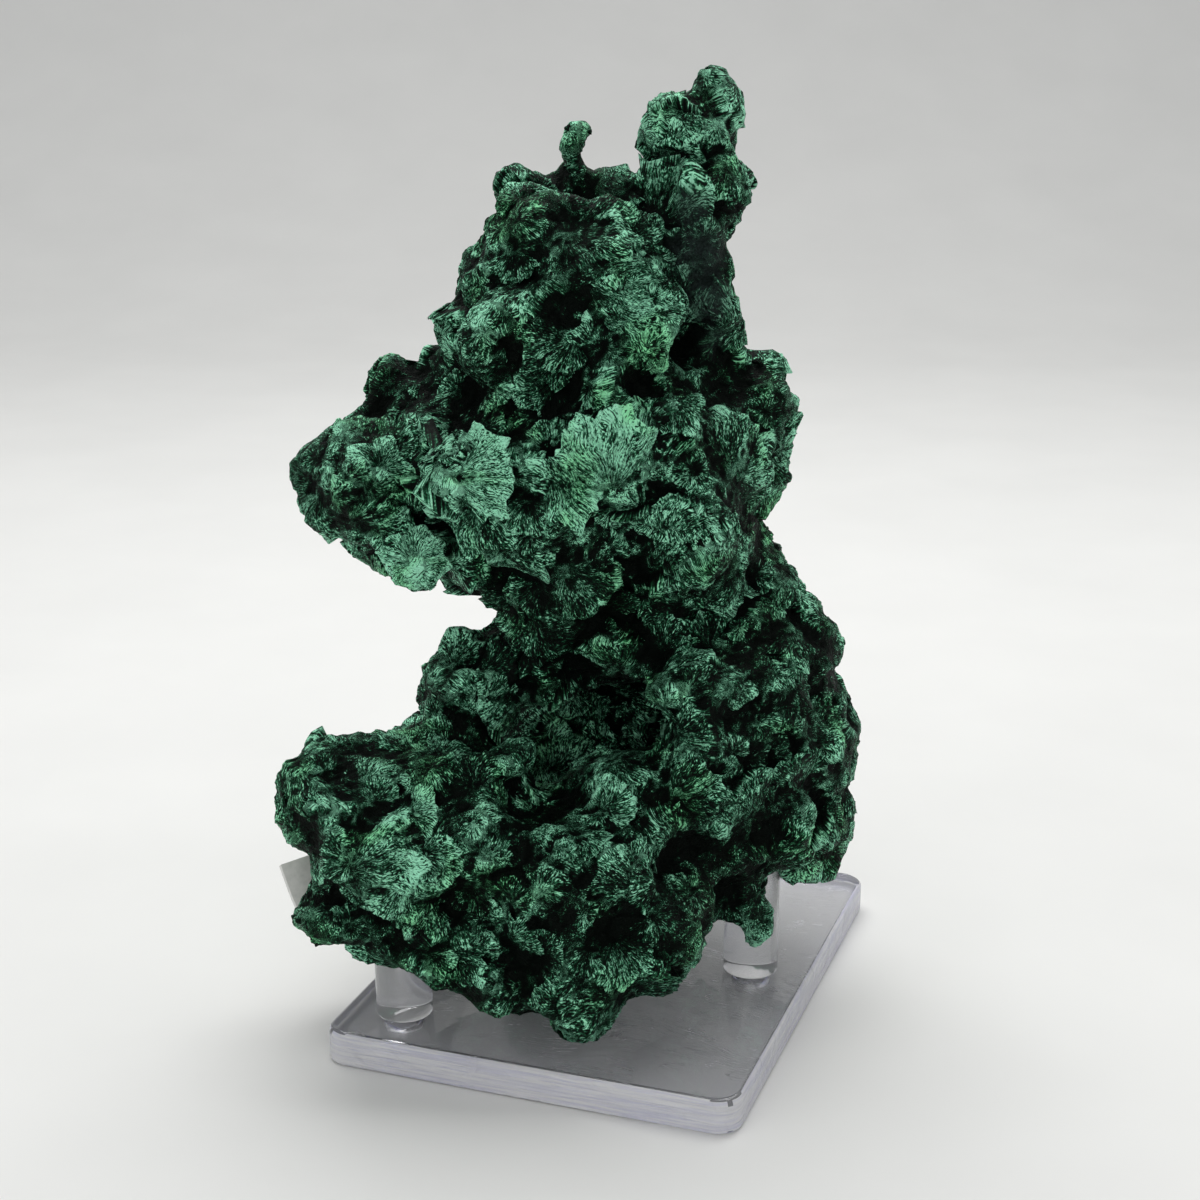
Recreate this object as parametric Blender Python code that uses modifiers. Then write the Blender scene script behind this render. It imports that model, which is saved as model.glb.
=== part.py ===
"""Fibrous malachite specimen on a clear acrylic stand with three pegs and a bent side arm.

The stand's plate lies on XY with its long side along Y, and the origin is the middle of its
underside. The stone is laid out as seen from the front: across to the right, back away from the
viewer and up, in millimetres, and is then turned about Z by VIEW_TURN on to the plate.
"""

import math

import bmesh
import bpy
from mathutils import Matrix, Vector, noise

MM = 0.001

# Stand
PLATE_WIDTH = 120.0
PLATE_DEPTH = 152.0
PLATE_THICKNESS = 10.0
PLATE_CORNER_RADIUS = 7.0
PLATE_EDGE_ROUND = 1.6
PEG_DIAMETER = 16.0
PEG_EDGE_ROUND = 0.6
PEG_TOP = 46.0
PEGS = {
    "post_front_left": (-42.5, -58.0),
    "post_right": (42.5, 0.0),
    "post_back_left": (-42.5, 56.0),
}
ARM_HALF_DIAGONAL = 6.6
ARM_ROLL = math.radians(20)
ARM_ROUTE = [
    (-50, 10, 10.4), (-50, 10, 18), (-51, 9, 26), (-66, -4, 26), (-84, -20, 27), (-88.5, -18.5, 34),
    (-92.5, -14, 44.5),
]
FIT_GAP = 0.3

# Stone
VIEW_TURN = math.radians(19.5)
ROUGH_VOXEL = 2.6
FINE_VOXEL = 2.2
STONE_TRIANGLES = 8200
SEAT_DEPTH = 9.0
SEAT_RIM = 4.0
SEAT_OVERLAP = 3.0

# Each lump is (across, back, up), (half width, half depth, half height) and a lean to the right
# in degrees, in the plane that faces the viewer.
SPIRE = [
    ((24, 0, 261), (7, 7, 9), 10),
    ((17, -2, 250), (11, 11, 11), -20),
    ((27, 2, 246), (9, 11, 13), 5),
    ((30, -3, 238), (7, 9, 11), 10),
    ((20, 0, 226), (12, 14, 17), 0),
    ((22, 2, 206), (11, 16, 20), 0),
    ((20, -14, 219), (4, 5, 22), 4),
    ((28, -12, 214), (5, 6, 20), 2),
    ((28, 4, 194), (7, 16, 16), 0),
]
UPPER_BLOCK = [
    ((-19, -6, 225), (16, 21, 14), 0),
    ((-29, -4, 208), (15, 20, 17), 8),
    ((-8, -12, 214), (22, 20, 19), 0),
    ((1, -15, 207), (16, 15, 17), 0),
    ((5, -29, 206), (13, 5, 16), -12),
    ((-20, -27, 200), (20, 6, 10), 12),
    ((-35, -8, 197), (11, 18, 12), 0),
    ((-12, -16, 193), (24, 20, 14), 0),
    ((-26, 2, 234), (8, 10, 7), 0),
    ((-13, 10, 235), (13, 5, 8), 0),
    ((1, 4, 234), (6, 8, 9), 0),
    ((-11.5, 4, 245), (3.6, 4, 11), 4),
    ((-9, 3, 252), (3.5, 3.5, 3), 30),
]
THUMB = [
    ((-63, 6, 181), (6, 8, 9), 0),
    ((-62, 4, 172), (10, 11, 9), 0),
    ((-46, 0, 183), (8, 12, 9), 20),
]
UPPER_LEFT_LOBE = [
    ((-68, -12, 158), (18, 19, 18), 0),
    ((-80, -9, 160), (9, 14, 10), 0),
    ((-71, -10, 147), (10, 15, 10), 0),
    ((-60, -12, 141), (13, 16, 11), 0),
    ((-54, -24, 138), (9, 9, 8), 0),
    ((-45, -8, 164), (18, 20, 21), 0),
    ((-42, -12, 142), (13, 14, 13), 0),
    ((-34, -10, 131), (10, 13, 9), 25),
]
CENTRE_MASS = [
    ((-16, -18, 160), (30, 22, 27), 0),
    ((13, -14, 162), (25, 23, 28), 0),
    ((22, -6, 142), (17, 25, 24), 0),
    ((0, -16, 134), (26, 22, 22), 0),
    ((-8, 6, 182), (30, 22, 30), 0),
    ((-40, -38, 165), (12, 5, 13), 35),
    ((-29, -37, 153), (11, 5, 15), -10),
    ((-3, -38, 172), (15, 6, 17), 0),
    ((-16, -40, 161), (4, 6, 14), 15),
    ((20, -34, 148), (11, 7, 14), 0),
]
RIGHT_SHOULDER = [
    ((40, 2, 183), (7, 12, 9), 0),
    ((42, 2, 170), (9, 14, 15), 0),
    ((38, 2, 154), (8, 13, 12), 0),
]
WAIST = [
    ((2, -4, 118), (31, 27, 22), 0),
    ((-22, -4, 104), (16, 22, 14), 0),
]
MID_LEFT_LOBE = [
    ((-43, -14, 96), (14, 17, 14), 0),
    ((-51, -13, 93), (7, 10, 11), 0),
    ((-43, -10, 109), (8, 5, 4), -12),
]
LOWER_LEFT_LOBE = [
    ((-72, -36, 75), (19, 24, 15), 0),
    ((-83, -34, 69), (11, 17, 11), 0),
    ((-62, -50, 62), (20, 17, 16), 0),
    ((-75, -54, 46), (14, 12, 9), 0),
    ((-74, -46, 58), (8, 9, 7), 0),
    ((-48, -34, 76), (21, 24, 14), 0),
    ((-38, -54, 70), (13, 15, 13), 0),
    ((-34, -44, 84), (16, 8, 6), -20),
    ((-58, -10, 66), (17, 20, 16), 0),
    ((-84, -15, 56), (8, 9, 11), 0),
]
LOWER_FRONT_LOBE = [
    ((-14, -46, 54), (30, 25, 24), 0),
    ((4, -34, 68), (24, 20, 18), 0),
    ((-11, -58, 33), (22, 15, 17), 0),
    ((-9, -65, 23), (9, 9, 10), 0),
    ((-33, -58, 31), (14, 13, 13), 0),
    ((11, -54, 40), (14, 14, 18), 0),
    ((19, -40, 43), (9, 14, 14), 0),
    ((-46, -54, 36), (14, 13, 11), 0),
    ((-57, -52, 37), (9, 11, 8), 0),
]
RIGHT_MASS = [
    ((41, 2, 121), (11, 18, 15), 0),
    ((53, 5, 100), (13, 22, 18), 0),
    ((59, 5, 76), (14, 24, 19), 0),
    ((54, 0, 52), (16, 22, 17), 0),
    ((36, -10, 92), (22, 26, 32), 0),
    ((32, -22, 64), (18, 20, 22), 0),
    ((22, -38, 80), (9, 10, 24), -6),
    ((20, -36, 106), (16, 8, 7), 6),
    ((47, -26, 60), (10, 8, 12), 0),
    ((38, -27, 36), (8, 6, 16), 0),
    ((27, -25, 41), (9, 8, 13), 0),
    ((44, 0, 133), (4, 5, 7), 10),
]
BACK_MASS = [
    ((-16, 36, 66), (30, 30, 26), 0),
    ((-20, 58, 56), (19, 17, 17), 0),
    ((20, 34, 74), (30, 26, 28), 0),
    ((-2, 30, 104), (26, 22, 28), 0),
    ((6, 22, 144), (24, 18, 30), 0),
    ((0, 16, 186), (24, 16, 28), 0),
    ((34, 30, 96), (18, 18, 22), 0),
    ((-44, 12, 66), (20, 24, 18), 0),
]
LUMP_GROUPS = [
    SPIRE, UPPER_BLOCK, THUMB, UPPER_LEFT_LOBE, CENTRE_MASS, RIGHT_SHOULDER, WAIST,
    MID_LEFT_LOBE, LOWER_LEFT_LOBE, LOWER_FRONT_LOBE, RIGHT_MASS, BACK_MASS,
]

# Each hollow is (across, back, up), radius, depth and the way it is pressed in.
INWARD = (0, 1, -0.1)
DOWNWARD = (0, 0, -1)
HOLLOWS = [
    ((-13, -4, 236), 9, 13, DOWNWARD),
    ((4, -38, 127), 14, 16, INWARD),
    ((20, -36, 121), 8, 9, INWARD),
    ((-10, -40, 116), 9, 12, INWARD),
    ((-14, -38, 184), 10, 9, INWARD),
    ((29, -14, 217), 5, 8, INWARD),
    ((17, -26, 224), 5, 7, INWARD),
    ((17.5, -28, 210), 5, 7, INWARD),
    ((19, -26, 196), 5, 7, INWARD),
    ((-55, 2, 187), 4, 10, DOWNWARD),
    ((-46, -34, 88), 8, 7, INWARD),
    ((-8, -54, 84), 8, 8, INWARD),
    ((-66, -64, 52), 5, 6, INWARD),
    ((-26, -60, 62), 7, 7, INWARD),
    ((24, -46, 60), 6, 7, INWARD),
    ((-30, -30, 100), 9, 8, INWARD),
    ((44, -24, 92), 6, 6, INWARD),
    ((-44, -26, 154), 6, 6, INWARD),
]

# A hollow's dent fades out with the distance from its middle, in radii.
DENT_REACH = 1.6
DENT_FADE = 1.6

# The stone's own relief: ledges that run across, ridges and knobs, each a size, a height and the
# level of the noise that stays where it is.
LEDGE_SIZE = (26.0, 20.0, 7.0)
LEDGE_HEIGHT = 2.6
RIDGE_SIZE = 17.0
RIDGE_HEIGHT = 4.2
RIDGE_LEVEL = 0.6
KNOB_SIZE = 9.0
KNOB_HEIGHT = 4.8
KNOB_LEVEL = 0.45
RELIEF_SEED = Vector((11.3, 4.7, 2.9))


def clear_scene():
    """Remove whatever the file opened with."""
    for old in list(bpy.data.objects):
        bpy.data.objects.remove(old, do_unlink=True)


def make_collection(name):
    """A collection of its own under the scene."""
    group = bpy.data.collections.new(name)
    bpy.context.scene.collection.children.link(group)
    return group


def make_material(name, colour, roughness, metallic=0.0, transmission=0.0, ior=1.5):
    """One Principled material."""
    material = bpy.data.materials.new(name)
    material.use_nodes = True
    shader = material.node_tree.nodes["Principled BSDF"]
    shader.inputs["Base Color"].default_value = (*colour, 1.0)
    shader.inputs["Roughness"].default_value = roughness
    shader.inputs["Metallic"].default_value = metallic
    shader.inputs["Transmission Weight"].default_value = transmission
    shader.inputs["IOR"].default_value = ior
    return material


def add_object(name, mesh, group, material):
    """Link a mesh as a named object with one material."""
    item = bpy.data.objects.new(name, mesh)
    group.objects.link(item)
    mesh.materials.clear()
    mesh.materials.append(material)
    return item


def evaluated_mesh(item):
    """The mesh an object's modifiers or curve settings give."""
    graph = bpy.context.evaluated_depsgraph_get()
    graph.update()
    return bpy.data.meshes.new_from_object(item.evaluated_get(graph))


def turned(point):
    """A point of the view's own axes, in millimetres, as a place on the stand in metres."""
    return Matrix.Rotation(VIEW_TURN, 3, "Z") @ Vector(point) * MM


def smooth_round_faces(mesh):
    """Shade smooth, but keep the flats' edges crisp."""
    mesh.shade_smooth()
    mesh.set_sharp_from_angle(angle=math.radians(40))


def build_plate(group, material):
    """The base plate: a box with rounded upright corners and a softened rim, top and bottom."""
    bpy.ops.mesh.primitive_cube_add(size=1.0, location=(0, 0, PLATE_THICKNESS / 2 * MM))
    plate = bpy.context.active_object
    plate.name = "stand_plate"
    plate.data.transform(Matrix.Diagonal((PLATE_WIDTH * MM, PLATE_DEPTH * MM, PLATE_THICKNESS * MM, 1.0)))
    shape = bmesh.new()
    shape.from_mesh(plate.data)
    upright = [edge for edge in shape.edges if abs(edge.verts[0].co.z - edge.verts[1].co.z) > MM]
    bmesh.ops.bevel(
        shape, geom=upright, offset=PLATE_CORNER_RADIUS * MM, segments=5, profile=0.5, affect="EDGES",
    )
    shape.to_mesh(plate.data)
    shape.free()
    rim = plate.modifiers.new("rim", "BEVEL")
    rim.width = PLATE_EDGE_ROUND * MM
    rim.segments = 2
    rim.limit_method = "ANGLE"
    rim.angle_limit = math.radians(60)
    for old_group in list(plate.users_collection):
        old_group.objects.unlink(plate)
    group.objects.link(plate)
    plate.data.materials.append(material)
    smooth_round_faces(plate.data)
    return plate


def build_pegs(group, material):
    """Three equal round pegs, standing on the plate."""
    bottom = PLATE_THICKNESS + FIT_GAP
    height = PEG_TOP - bottom
    for name, (across, along) in PEGS.items():
        shape = bmesh.new()
        bmesh.ops.create_cone(
            shape, cap_ends=True, segments=32, radius1=PEG_DIAMETER / 2 * MM, radius2=PEG_DIAMETER / 2 * MM,
            depth=height * MM,
        )
        mesh = bpy.data.meshes.new(name)
        shape.to_mesh(mesh)
        shape.free()
        peg = add_object(name, mesh, group, material)
        peg.location = (across * MM, along * MM, (bottom + height / 2) * MM)
        softened = peg.modifiers.new("softened ends", "BEVEL")
        softened.width = PEG_EDGE_ROUND * MM
        softened.segments = 1
        softened.limit_method = "ANGLE"
        softened.angle_limit = math.radians(60)
        smooth_round_faces(mesh)


def swept_bar(name, half_diagonal):
    """A square bar along the arm's route, standing on one corner, as a closed mesh."""
    curve = bpy.data.curves.new(name, "CURVE")
    curve.dimensions = "3D"
    curve.bevel_depth = half_diagonal * MM
    curve.bevel_resolution = 0
    curve.use_fill_caps = True
    curve.twist_mode = "MINIMUM"
    spline = curve.splines.new("NURBS")
    spline.points.add(len(ARM_ROUTE) - 1)
    for point, place in zip(spline.points, ARM_ROUTE):
        point.co = (*turned(place), 1.0)
        point.tilt = ARM_ROLL
    spline.order_u = 3
    spline.resolution_u = 4
    spline.use_endpoint_u = True
    carrier = bpy.data.objects.new(name + "_curve", curve)
    bpy.context.scene.collection.objects.link(carrier)
    mesh = evaluated_mesh(carrier)
    bpy.data.objects.remove(carrier, do_unlink=True)
    shape = bmesh.new()
    shape.from_mesh(mesh)
    bmesh.ops.remove_doubles(shape, verts=shape.verts, dist=1e-6)
    bmesh.ops.recalc_face_normals(shape, faces=shape.faces)
    shape.to_mesh(mesh)
    shape.free()
    return mesh


def lump_matrix(centre, size, lean):
    """Place, lean and stretch of one lump on the stand."""
    tilt = Matrix.Rotation(math.radians(lean), 4, "Y")
    stretch = Matrix.Diagonal((size[0] * MM, size[1] * MM, size[2] * MM, 1.0))
    return Matrix.Rotation(VIEW_TURN, 4, "Z") @ Matrix.Translation(Vector(centre) * MM) @ tilt @ stretch


def lumps_mesh():
    """All the lumps as overlapping closed balls in one mesh."""
    shape = bmesh.new()
    for lumps in LUMP_GROUPS:
        for centre, size, lean in lumps:
            bmesh.ops.create_icosphere(
                shape, subdivisions=3, radius=1.0, matrix=lump_matrix(centre, size, lean),
            )
    mesh = bpy.data.meshes.new("lumps")
    shape.to_mesh(mesh)
    shape.free()
    return mesh


def remeshed(mesh, voxel):
    """One even closed skin around a mesh."""
    carrier = bpy.data.objects.new("skin", mesh)
    bpy.context.scene.collection.objects.link(carrier)
    skin = carrier.modifiers.new("skin", "REMESH")
    skin.mode = "VOXEL"
    skin.voxel_size = voxel * MM
    result = evaluated_mesh(carrier)
    bpy.data.objects.remove(carrier, do_unlink=True)
    return result


def relief(place):
    """Height of the stone's ledges, ridges and knobs at a place, all in millimetres."""
    ledge_place = Vector((place.x / LEDGE_SIZE[0], place.y / LEDGE_SIZE[1], place.z / LEDGE_SIZE[2]))
    ledge = noise.noise(ledge_place + RELIEF_SEED)
    ridge = 1.0 - 2.0 * abs(noise.noise(place / RIDGE_SIZE + RELIEF_SEED * 2))
    near = noise.voronoi(place / KNOB_SIZE + RELIEF_SEED * 3)[0]
    knob = KNOB_LEVEL - near[0]
    return LEDGE_HEIGHT * ledge + RIDGE_HEIGHT * (ridge - RIDGE_LEVEL) + KNOB_HEIGHT * knob


def carve_stone(mesh):
    """Press in the hollows and raise the relief."""
    shape = bmesh.new()
    shape.from_mesh(mesh)
    shape.normal_update()
    pressed = [
        (turned(centre) / MM, radius, depth, (Matrix.Rotation(VIEW_TURN, 3, "Z") @ Vector(way)).normalized())
        for centre, radius, depth, way in HOLLOWS
    ]
    moves = []
    for vert in shape.verts:
        place = vert.co / MM
        move = vert.normal * relief(place)
        for centre, radius, depth, way in pressed:
            away = (place - centre).length / radius
            if away < DENT_REACH:
                move += way * depth * math.exp(-DENT_FADE * away * away)
        moves.append(move)
    for vert, move in zip(shape.verts, moves):
        vert.co += move * MM
    shape.to_mesh(mesh)
    shape.free()


def keep_largest_piece(mesh):
    """Drop every loose crumb but the stone itself."""
    shape = bmesh.new()
    shape.from_mesh(mesh)
    seen = set()
    pieces = []
    for start in shape.verts:
        if start in seen:
            continue
        seen.add(start)
        piece = [start]
        for vert in piece:
            for edge in vert.link_edges:
                other = edge.other_vert(vert)
                if other not in seen:
                    seen.add(other)
                    piece.append(other)
        pieces.append(piece)
    pieces.sort(key=len)
    for piece in pieces[:-1]:
        bmesh.ops.delete(shape, geom=piece, context="VERTS")
    shape.to_mesh(mesh)
    shape.free()


def thinned(mesh, triangles):
    """The same skin with about as many triangles as asked for."""
    carrier = bpy.data.objects.new("thinned", mesh)
    bpy.context.scene.collection.objects.link(carrier)
    three_sided = carrier.modifiers.new("three sided", "TRIANGULATE")
    three_sided.min_vertices = 4
    mesh.calc_loop_triangles()
    thin = carrier.modifiers.new("thin", "DECIMATE")
    thin.ratio = min(1.0, triangles / len(mesh.loop_triangles))
    result = evaluated_mesh(carrier)
    bpy.data.objects.remove(carrier, do_unlink=True)
    return result


def add_cutter(name, mesh, group):
    """A cutting body that is never part of the object."""
    cutter = bpy.data.objects.new(name, mesh)
    group.objects.link(cutter)
    cutter.hide_render = True
    cutter.display_type = "WIRE"
    return cutter


def seat_cutters(group):
    """A flat-topped well around each peg, and a groove around the arm, each clear by the fit gap."""
    cutters = []
    for name, (across, along) in PEGS.items():
        shape = bmesh.new()
        radius = (PEG_DIAMETER / 2 + FIT_GAP) * MM
        bmesh.ops.create_cone(
            shape, cap_ends=True, segments=32, radius1=radius, radius2=radius, depth=PEG_TOP * MM,
        )
        middle = PEG_TOP / 2 + FIT_GAP
        bmesh.ops.translate(shape, verts=shape.verts, vec=Vector((across, along, middle)) * MM)
        mesh = bpy.data.meshes.new("seat_" + name)
        shape.to_mesh(mesh)
        shape.free()
        cutters.append(add_cutter("seat_" + name, mesh, group))
    groove = swept_bar("arm_groove", ARM_HALF_DIAGONAL + 2 * FIT_GAP)
    cutters.append(add_cutter("arm_groove", groove, group))
    return cutters


def seat_lumps():
    """A boss of stone over each peg, so that every peg reaches it."""
    size = PEG_DIAMETER / 2 + SEAT_RIM
    places = []
    for across, along in PEGS.values():
        across_view = across * math.cos(VIEW_TURN) + along * math.sin(VIEW_TURN)
        back_view = along * math.cos(VIEW_TURN) - across * math.sin(VIEW_TURN)
        places.append(((across_view, back_view, PEG_TOP + SEAT_DEPTH - SEAT_OVERLAP), (size, size, SEAT_DEPTH), 0))
    return places


def build_stone(group, cutter_group, material):
    """The malachite: lumps in one skin, carved, thinned and seated on the pegs."""
    LUMP_GROUPS.append(seat_lumps())
    rough = remeshed(lumps_mesh(), ROUGH_VOXEL)
    carve_stone(rough)
    fine = remeshed(rough, FINE_VOXEL)
    keep_largest_piece(fine)
    stone = add_object("malachite", thinned(fine, STONE_TRIANGLES), group, material)
    for cutter in seat_cutters(cutter_group):
        cut = stone.modifiers.new(cutter.name, "BOOLEAN")
        cut.operation = "DIFFERENCE"
        cut.solver = "EXACT"
        cut.object = cutter
    stone.data = evaluated_mesh(stone)
    stone.modifiers.clear()
    keep_largest_piece(stone.data)
    return stone


def main():
    """Build the whole specimen with its stand."""
    clear_scene()
    group = make_collection("malachite_specimen")
    cutter_group = make_collection("cutters")
    malachite = make_material("malachite", (0.012, 0.085, 0.045), 0.55)
    clear_acrylic = make_material("clear_acrylic", (0.93, 0.93, 0.96), 0.04, transmission=1.0, ior=1.49)
    frosted_acrylic = make_material("frosted_acrylic", (0.50, 0.51, 0.48), 0.35)
    build_plate(group, clear_acrylic)
    build_pegs(group, clear_acrylic)
    add_object("side_arm", swept_bar("side_arm", ARM_HALF_DIAGONAL), group, frosted_acrylic)
    build_stone(group, cutter_group, malachite)


main()
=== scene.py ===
import itertools
import math

import bmesh
import bpy
import numpy as np
from bpy.props import FloatProperty, FloatVectorProperty, IntProperty, PointerProperty
from mathutils import Matrix, Vector
from mathutils.bvhtree import BVHTree


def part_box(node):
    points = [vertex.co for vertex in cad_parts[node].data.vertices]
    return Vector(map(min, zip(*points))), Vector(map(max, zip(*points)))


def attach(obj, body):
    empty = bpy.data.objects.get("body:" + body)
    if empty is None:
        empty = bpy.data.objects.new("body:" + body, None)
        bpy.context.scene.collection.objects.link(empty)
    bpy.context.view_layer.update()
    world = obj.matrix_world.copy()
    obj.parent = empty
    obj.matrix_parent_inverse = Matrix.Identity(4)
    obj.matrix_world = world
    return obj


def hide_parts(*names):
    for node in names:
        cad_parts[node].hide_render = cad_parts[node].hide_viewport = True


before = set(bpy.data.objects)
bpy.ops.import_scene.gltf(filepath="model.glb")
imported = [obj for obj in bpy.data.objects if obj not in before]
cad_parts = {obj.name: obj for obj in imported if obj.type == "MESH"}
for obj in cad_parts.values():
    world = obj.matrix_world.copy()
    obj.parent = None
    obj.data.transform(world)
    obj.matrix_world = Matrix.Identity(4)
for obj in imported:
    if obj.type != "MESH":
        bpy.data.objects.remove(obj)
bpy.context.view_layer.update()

bl_info = {
    "name": "Malachite specimen",
    "version": (1, 0, 0),
    "blender": (4, 5, 0),
    "location": "3D View > Sidebar > Specimen",
    "description": "Dresses a fibrous malachite specimen and its clear acrylic stand",
    "category": "Object",
}

MM = 0.001
BODY = "root"

# The photograph's pinhole camera, in millimetres from the middle of the plate's underside
PHOTO_SIZE = 1200
PHOTO_FOCAL = 2116.0
PHOTO_PITCH = math.radians(17.16)
VIEW_TURN = math.radians(19.5)
PHOTO_CAMERA = (-4.2, -578.0, 297.6)
SENSOR_WIDTH = 36.0

PEG_NODES = ("post_front_left", "post_right", "post_back_left")
# In millimetres: room round the pegs, room under the plate, where the box starts to hold the skin
# back, and the least distance from a peg's axis that counts
FIT_GAP = 0.3
FLOOR_GAP = 0.25
BOX_EASE = 3.0
NEAR_AXIS = 0.01


# Numbers that repeat on every run

# Whole numbers that scramble a cell's place, the gain that brings the noise to about 1, how steep
# a ridge falls, and how far apart the octaves' seeds are
CELL_STRIDES = (73856093, 19349663, 83492791)
SEED_STRIDE = 2654435761
SCRAMBLE = 1274126177
SCRAMBLE_MASK = 0x7FFFFFFFFFFF
NUMBER_MASK = 0xFFFFFF
NOISE_GAIN = 1.6
RIDGE_STEEPNESS = 2.4
OCTAVE_SEED_STEP = 17


def lattice_number(cell, seed):
    """A repeatable number from 0 to 1 for each whole-number cell."""
    mixed = seed * SEED_STRIDE
    for axis, stride in enumerate(CELL_STRIDES):
        mixed = mixed ^ (cell[:, axis].astype(np.int64) * stride)
    mixed = ((mixed ^ (mixed >> 13)) * SCRAMBLE) & SCRAMBLE_MASK
    return ((mixed ^ (mixed >> 16)) & NUMBER_MASK) / NUMBER_MASK


def lattice_place(cell, seed):
    """Three repeatable numbers from 0 to 1 for each whole-number cell."""
    return np.stack([lattice_number(cell, seed + axis) for axis in range(3)], 1)


def gradient_noise(points, seed):
    """Smooth noise of about -1 to 1 with features one unit across."""
    base = np.floor(points)
    part = points - base
    fade = part * part * (3.0 - 2.0 * part)
    total = np.zeros(len(points))
    for corner in itertools.product((0, 1), repeat=3):
        offset = np.array(corner)
        slope = lattice_place(base + offset, seed) * 2 - 1
        weight = np.prod(np.where(offset == 1, fade, 1 - fade), axis=1)
        total += weight * (slope * (part - offset)).sum(1)
    return total * NOISE_GAIN


def noise_vectors(points, seed):
    """A smooth noise vector at each point."""
    return np.stack([gradient_noise(points, seed + axis) for axis in range(3)], 1)


def layered_noise(points, octaves, seed, ridged=False):
    """Noise summed over octaves; ridged noise has sharp crests."""
    total = np.zeros(len(points))
    for octave in range(octaves):
        layer = gradient_noise(points * 2.0 ** octave, seed + OCTAVE_SEED_STEP * octave)
        if ridged:
            layer = 1.0 - RIDGE_STEEPNESS * np.abs(layer)
        total += layer * 0.5 ** octave
    return total / (2.0 - 0.5 ** (octaves - 1))


def nearest_cells(points, seed):
    """Distance to the nearest and to the next jittered cell centre, and a number for the nearest."""
    base = np.floor(points)
    nearest = np.full(len(points), math.inf)
    following = nearest.copy()
    number = np.zeros(len(points))
    for offset in itertools.product((-1, 0, 1), repeat=3):
        cell = base + np.array(offset)
        away = np.linalg.norm(points - (cell + lattice_place(cell, seed)), axis=1)
        closer = away < nearest
        following = np.where(closer, nearest, np.minimum(following, away))
        nearest = np.where(closer, away, nearest)
        number[closer] = lattice_number(cell, seed + 5)[closer]
    return nearest, following, number


def smooth_step(low, high, value):
    """0 below low, 1 above high and smooth between."""
    part = np.clip((value - low) / (high - low), 0.0, 1.0)
    return part * part * (3.0 - 2.0 * part)


# Meshes as arrays, in millimetres

def mesh_points(mesh):
    """A mesh's vertices."""
    points = np.empty(len(mesh.vertices) * 3)
    mesh.vertices.foreach_get("co", points)
    return points.reshape(-1, 3) / MM


def set_mesh_points(mesh, points):
    """Move a mesh's vertices."""
    mesh.vertices.foreach_set("co", (points * MM).ravel())
    mesh.update()


def mesh_normals(mesh):
    """A mesh's vertex normals."""
    normals = np.empty(len(mesh.vertices) * 3)
    mesh.vertex_normals.foreach_get("vector", normals)
    return normals.reshape(-1, 3)


def mesh_edges(mesh):
    """A mesh's edges as pairs of vertex numbers."""
    edges = np.empty(len(mesh.edges) * 2, dtype=np.int64)
    mesh.edges.foreach_get("vertices", edges)
    return edges.reshape(-1, 2)


def neighbour_mean(values, edges):
    """Each vertex's mean over its neighbours."""
    count = len(values)
    start, end = edges[:, 0], edges[:, 1]
    degree = np.bincount(start, minlength=count) + np.bincount(end, minlength=count)
    columns = []
    for column in values.T:
        total = np.bincount(start, weights=column[end], minlength=count)
        total += np.bincount(end, weights=column[start], minlength=count)
        columns.append(total / np.maximum(degree, 1))
    return np.stack(columns, 1)


def smoothed(values, edges, rounds):
    """Values evened out over the mesh."""
    for _ in range(rounds):
        values = 0.5 * values + 0.5 * neighbour_mean(values, edges)
    return values


def write_attribute(mesh, name, values):
    """Store a number or a vector at each vertex for the material to read."""
    kind, field = ("FLOAT", "value") if values.ndim == 1 else ("FLOAT_VECTOR", "vector")
    layer = mesh.attributes.new(name, kind, "POINT")
    layer.data.foreach_set(field, values.astype(np.float32).ravel())


def link_piece(name, mesh, material):
    """A named piece of the specimen that rides with the stand."""
    piece = bpy.data.objects.new(name, mesh)
    bpy.context.scene.collection.objects.link(piece)
    mesh.materials.clear()
    mesh.materials.append(material)
    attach(piece, BODY)
    return piece


def evaluated_copy(item):
    """The mesh that an object's modifiers give; the object goes."""
    graph = bpy.context.evaluated_depsgraph_get()
    graph.update()
    mesh = bpy.data.meshes.new_from_object(item.evaluated_get(graph))
    bpy.data.objects.remove(item, do_unlink=True)
    return mesh


def remeshed(mesh, voxel):
    """An even skin of small faces around a closed mesh."""
    carrier = bpy.data.objects.new("skin", mesh)
    bpy.context.scene.collection.objects.link(carrier)
    skin = carrier.modifiers.new("skin", "REMESH")
    skin.mode = "VOXEL"
    skin.voxel_size = voxel * MM
    return evaluated_copy(carrier)


def node_box(name):
    """A node's lowest and highest corners in the frame, in millimetres."""
    return [Vector(corner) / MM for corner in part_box(name)]


def view_point(across, back, up):
    """A place in the photograph's own axes, turned on to the stand, in millimetres."""
    return Matrix.Rotation(VIEW_TURN, 3, "Z") @ Vector((across, back, up))


def photo_ray(pixel_x, pixel_y):
    """Where the photograph's camera stands and the way it looks through one of its pixels."""
    right = (pixel_x - PHOTO_SIZE / 2) / PHOTO_FOCAL
    above = (PHOTO_SIZE / 2 - pixel_y) / PHOTO_FOCAL
    back = math.cos(PHOTO_PITCH) + above * math.sin(PHOTO_PITCH)
    up = -math.sin(PHOTO_PITCH) + above * math.cos(PHOTO_PITCH)
    return view_point(*PHOTO_CAMERA), view_point(right, back, up).normalized()


# Shader maths as expressions

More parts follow.
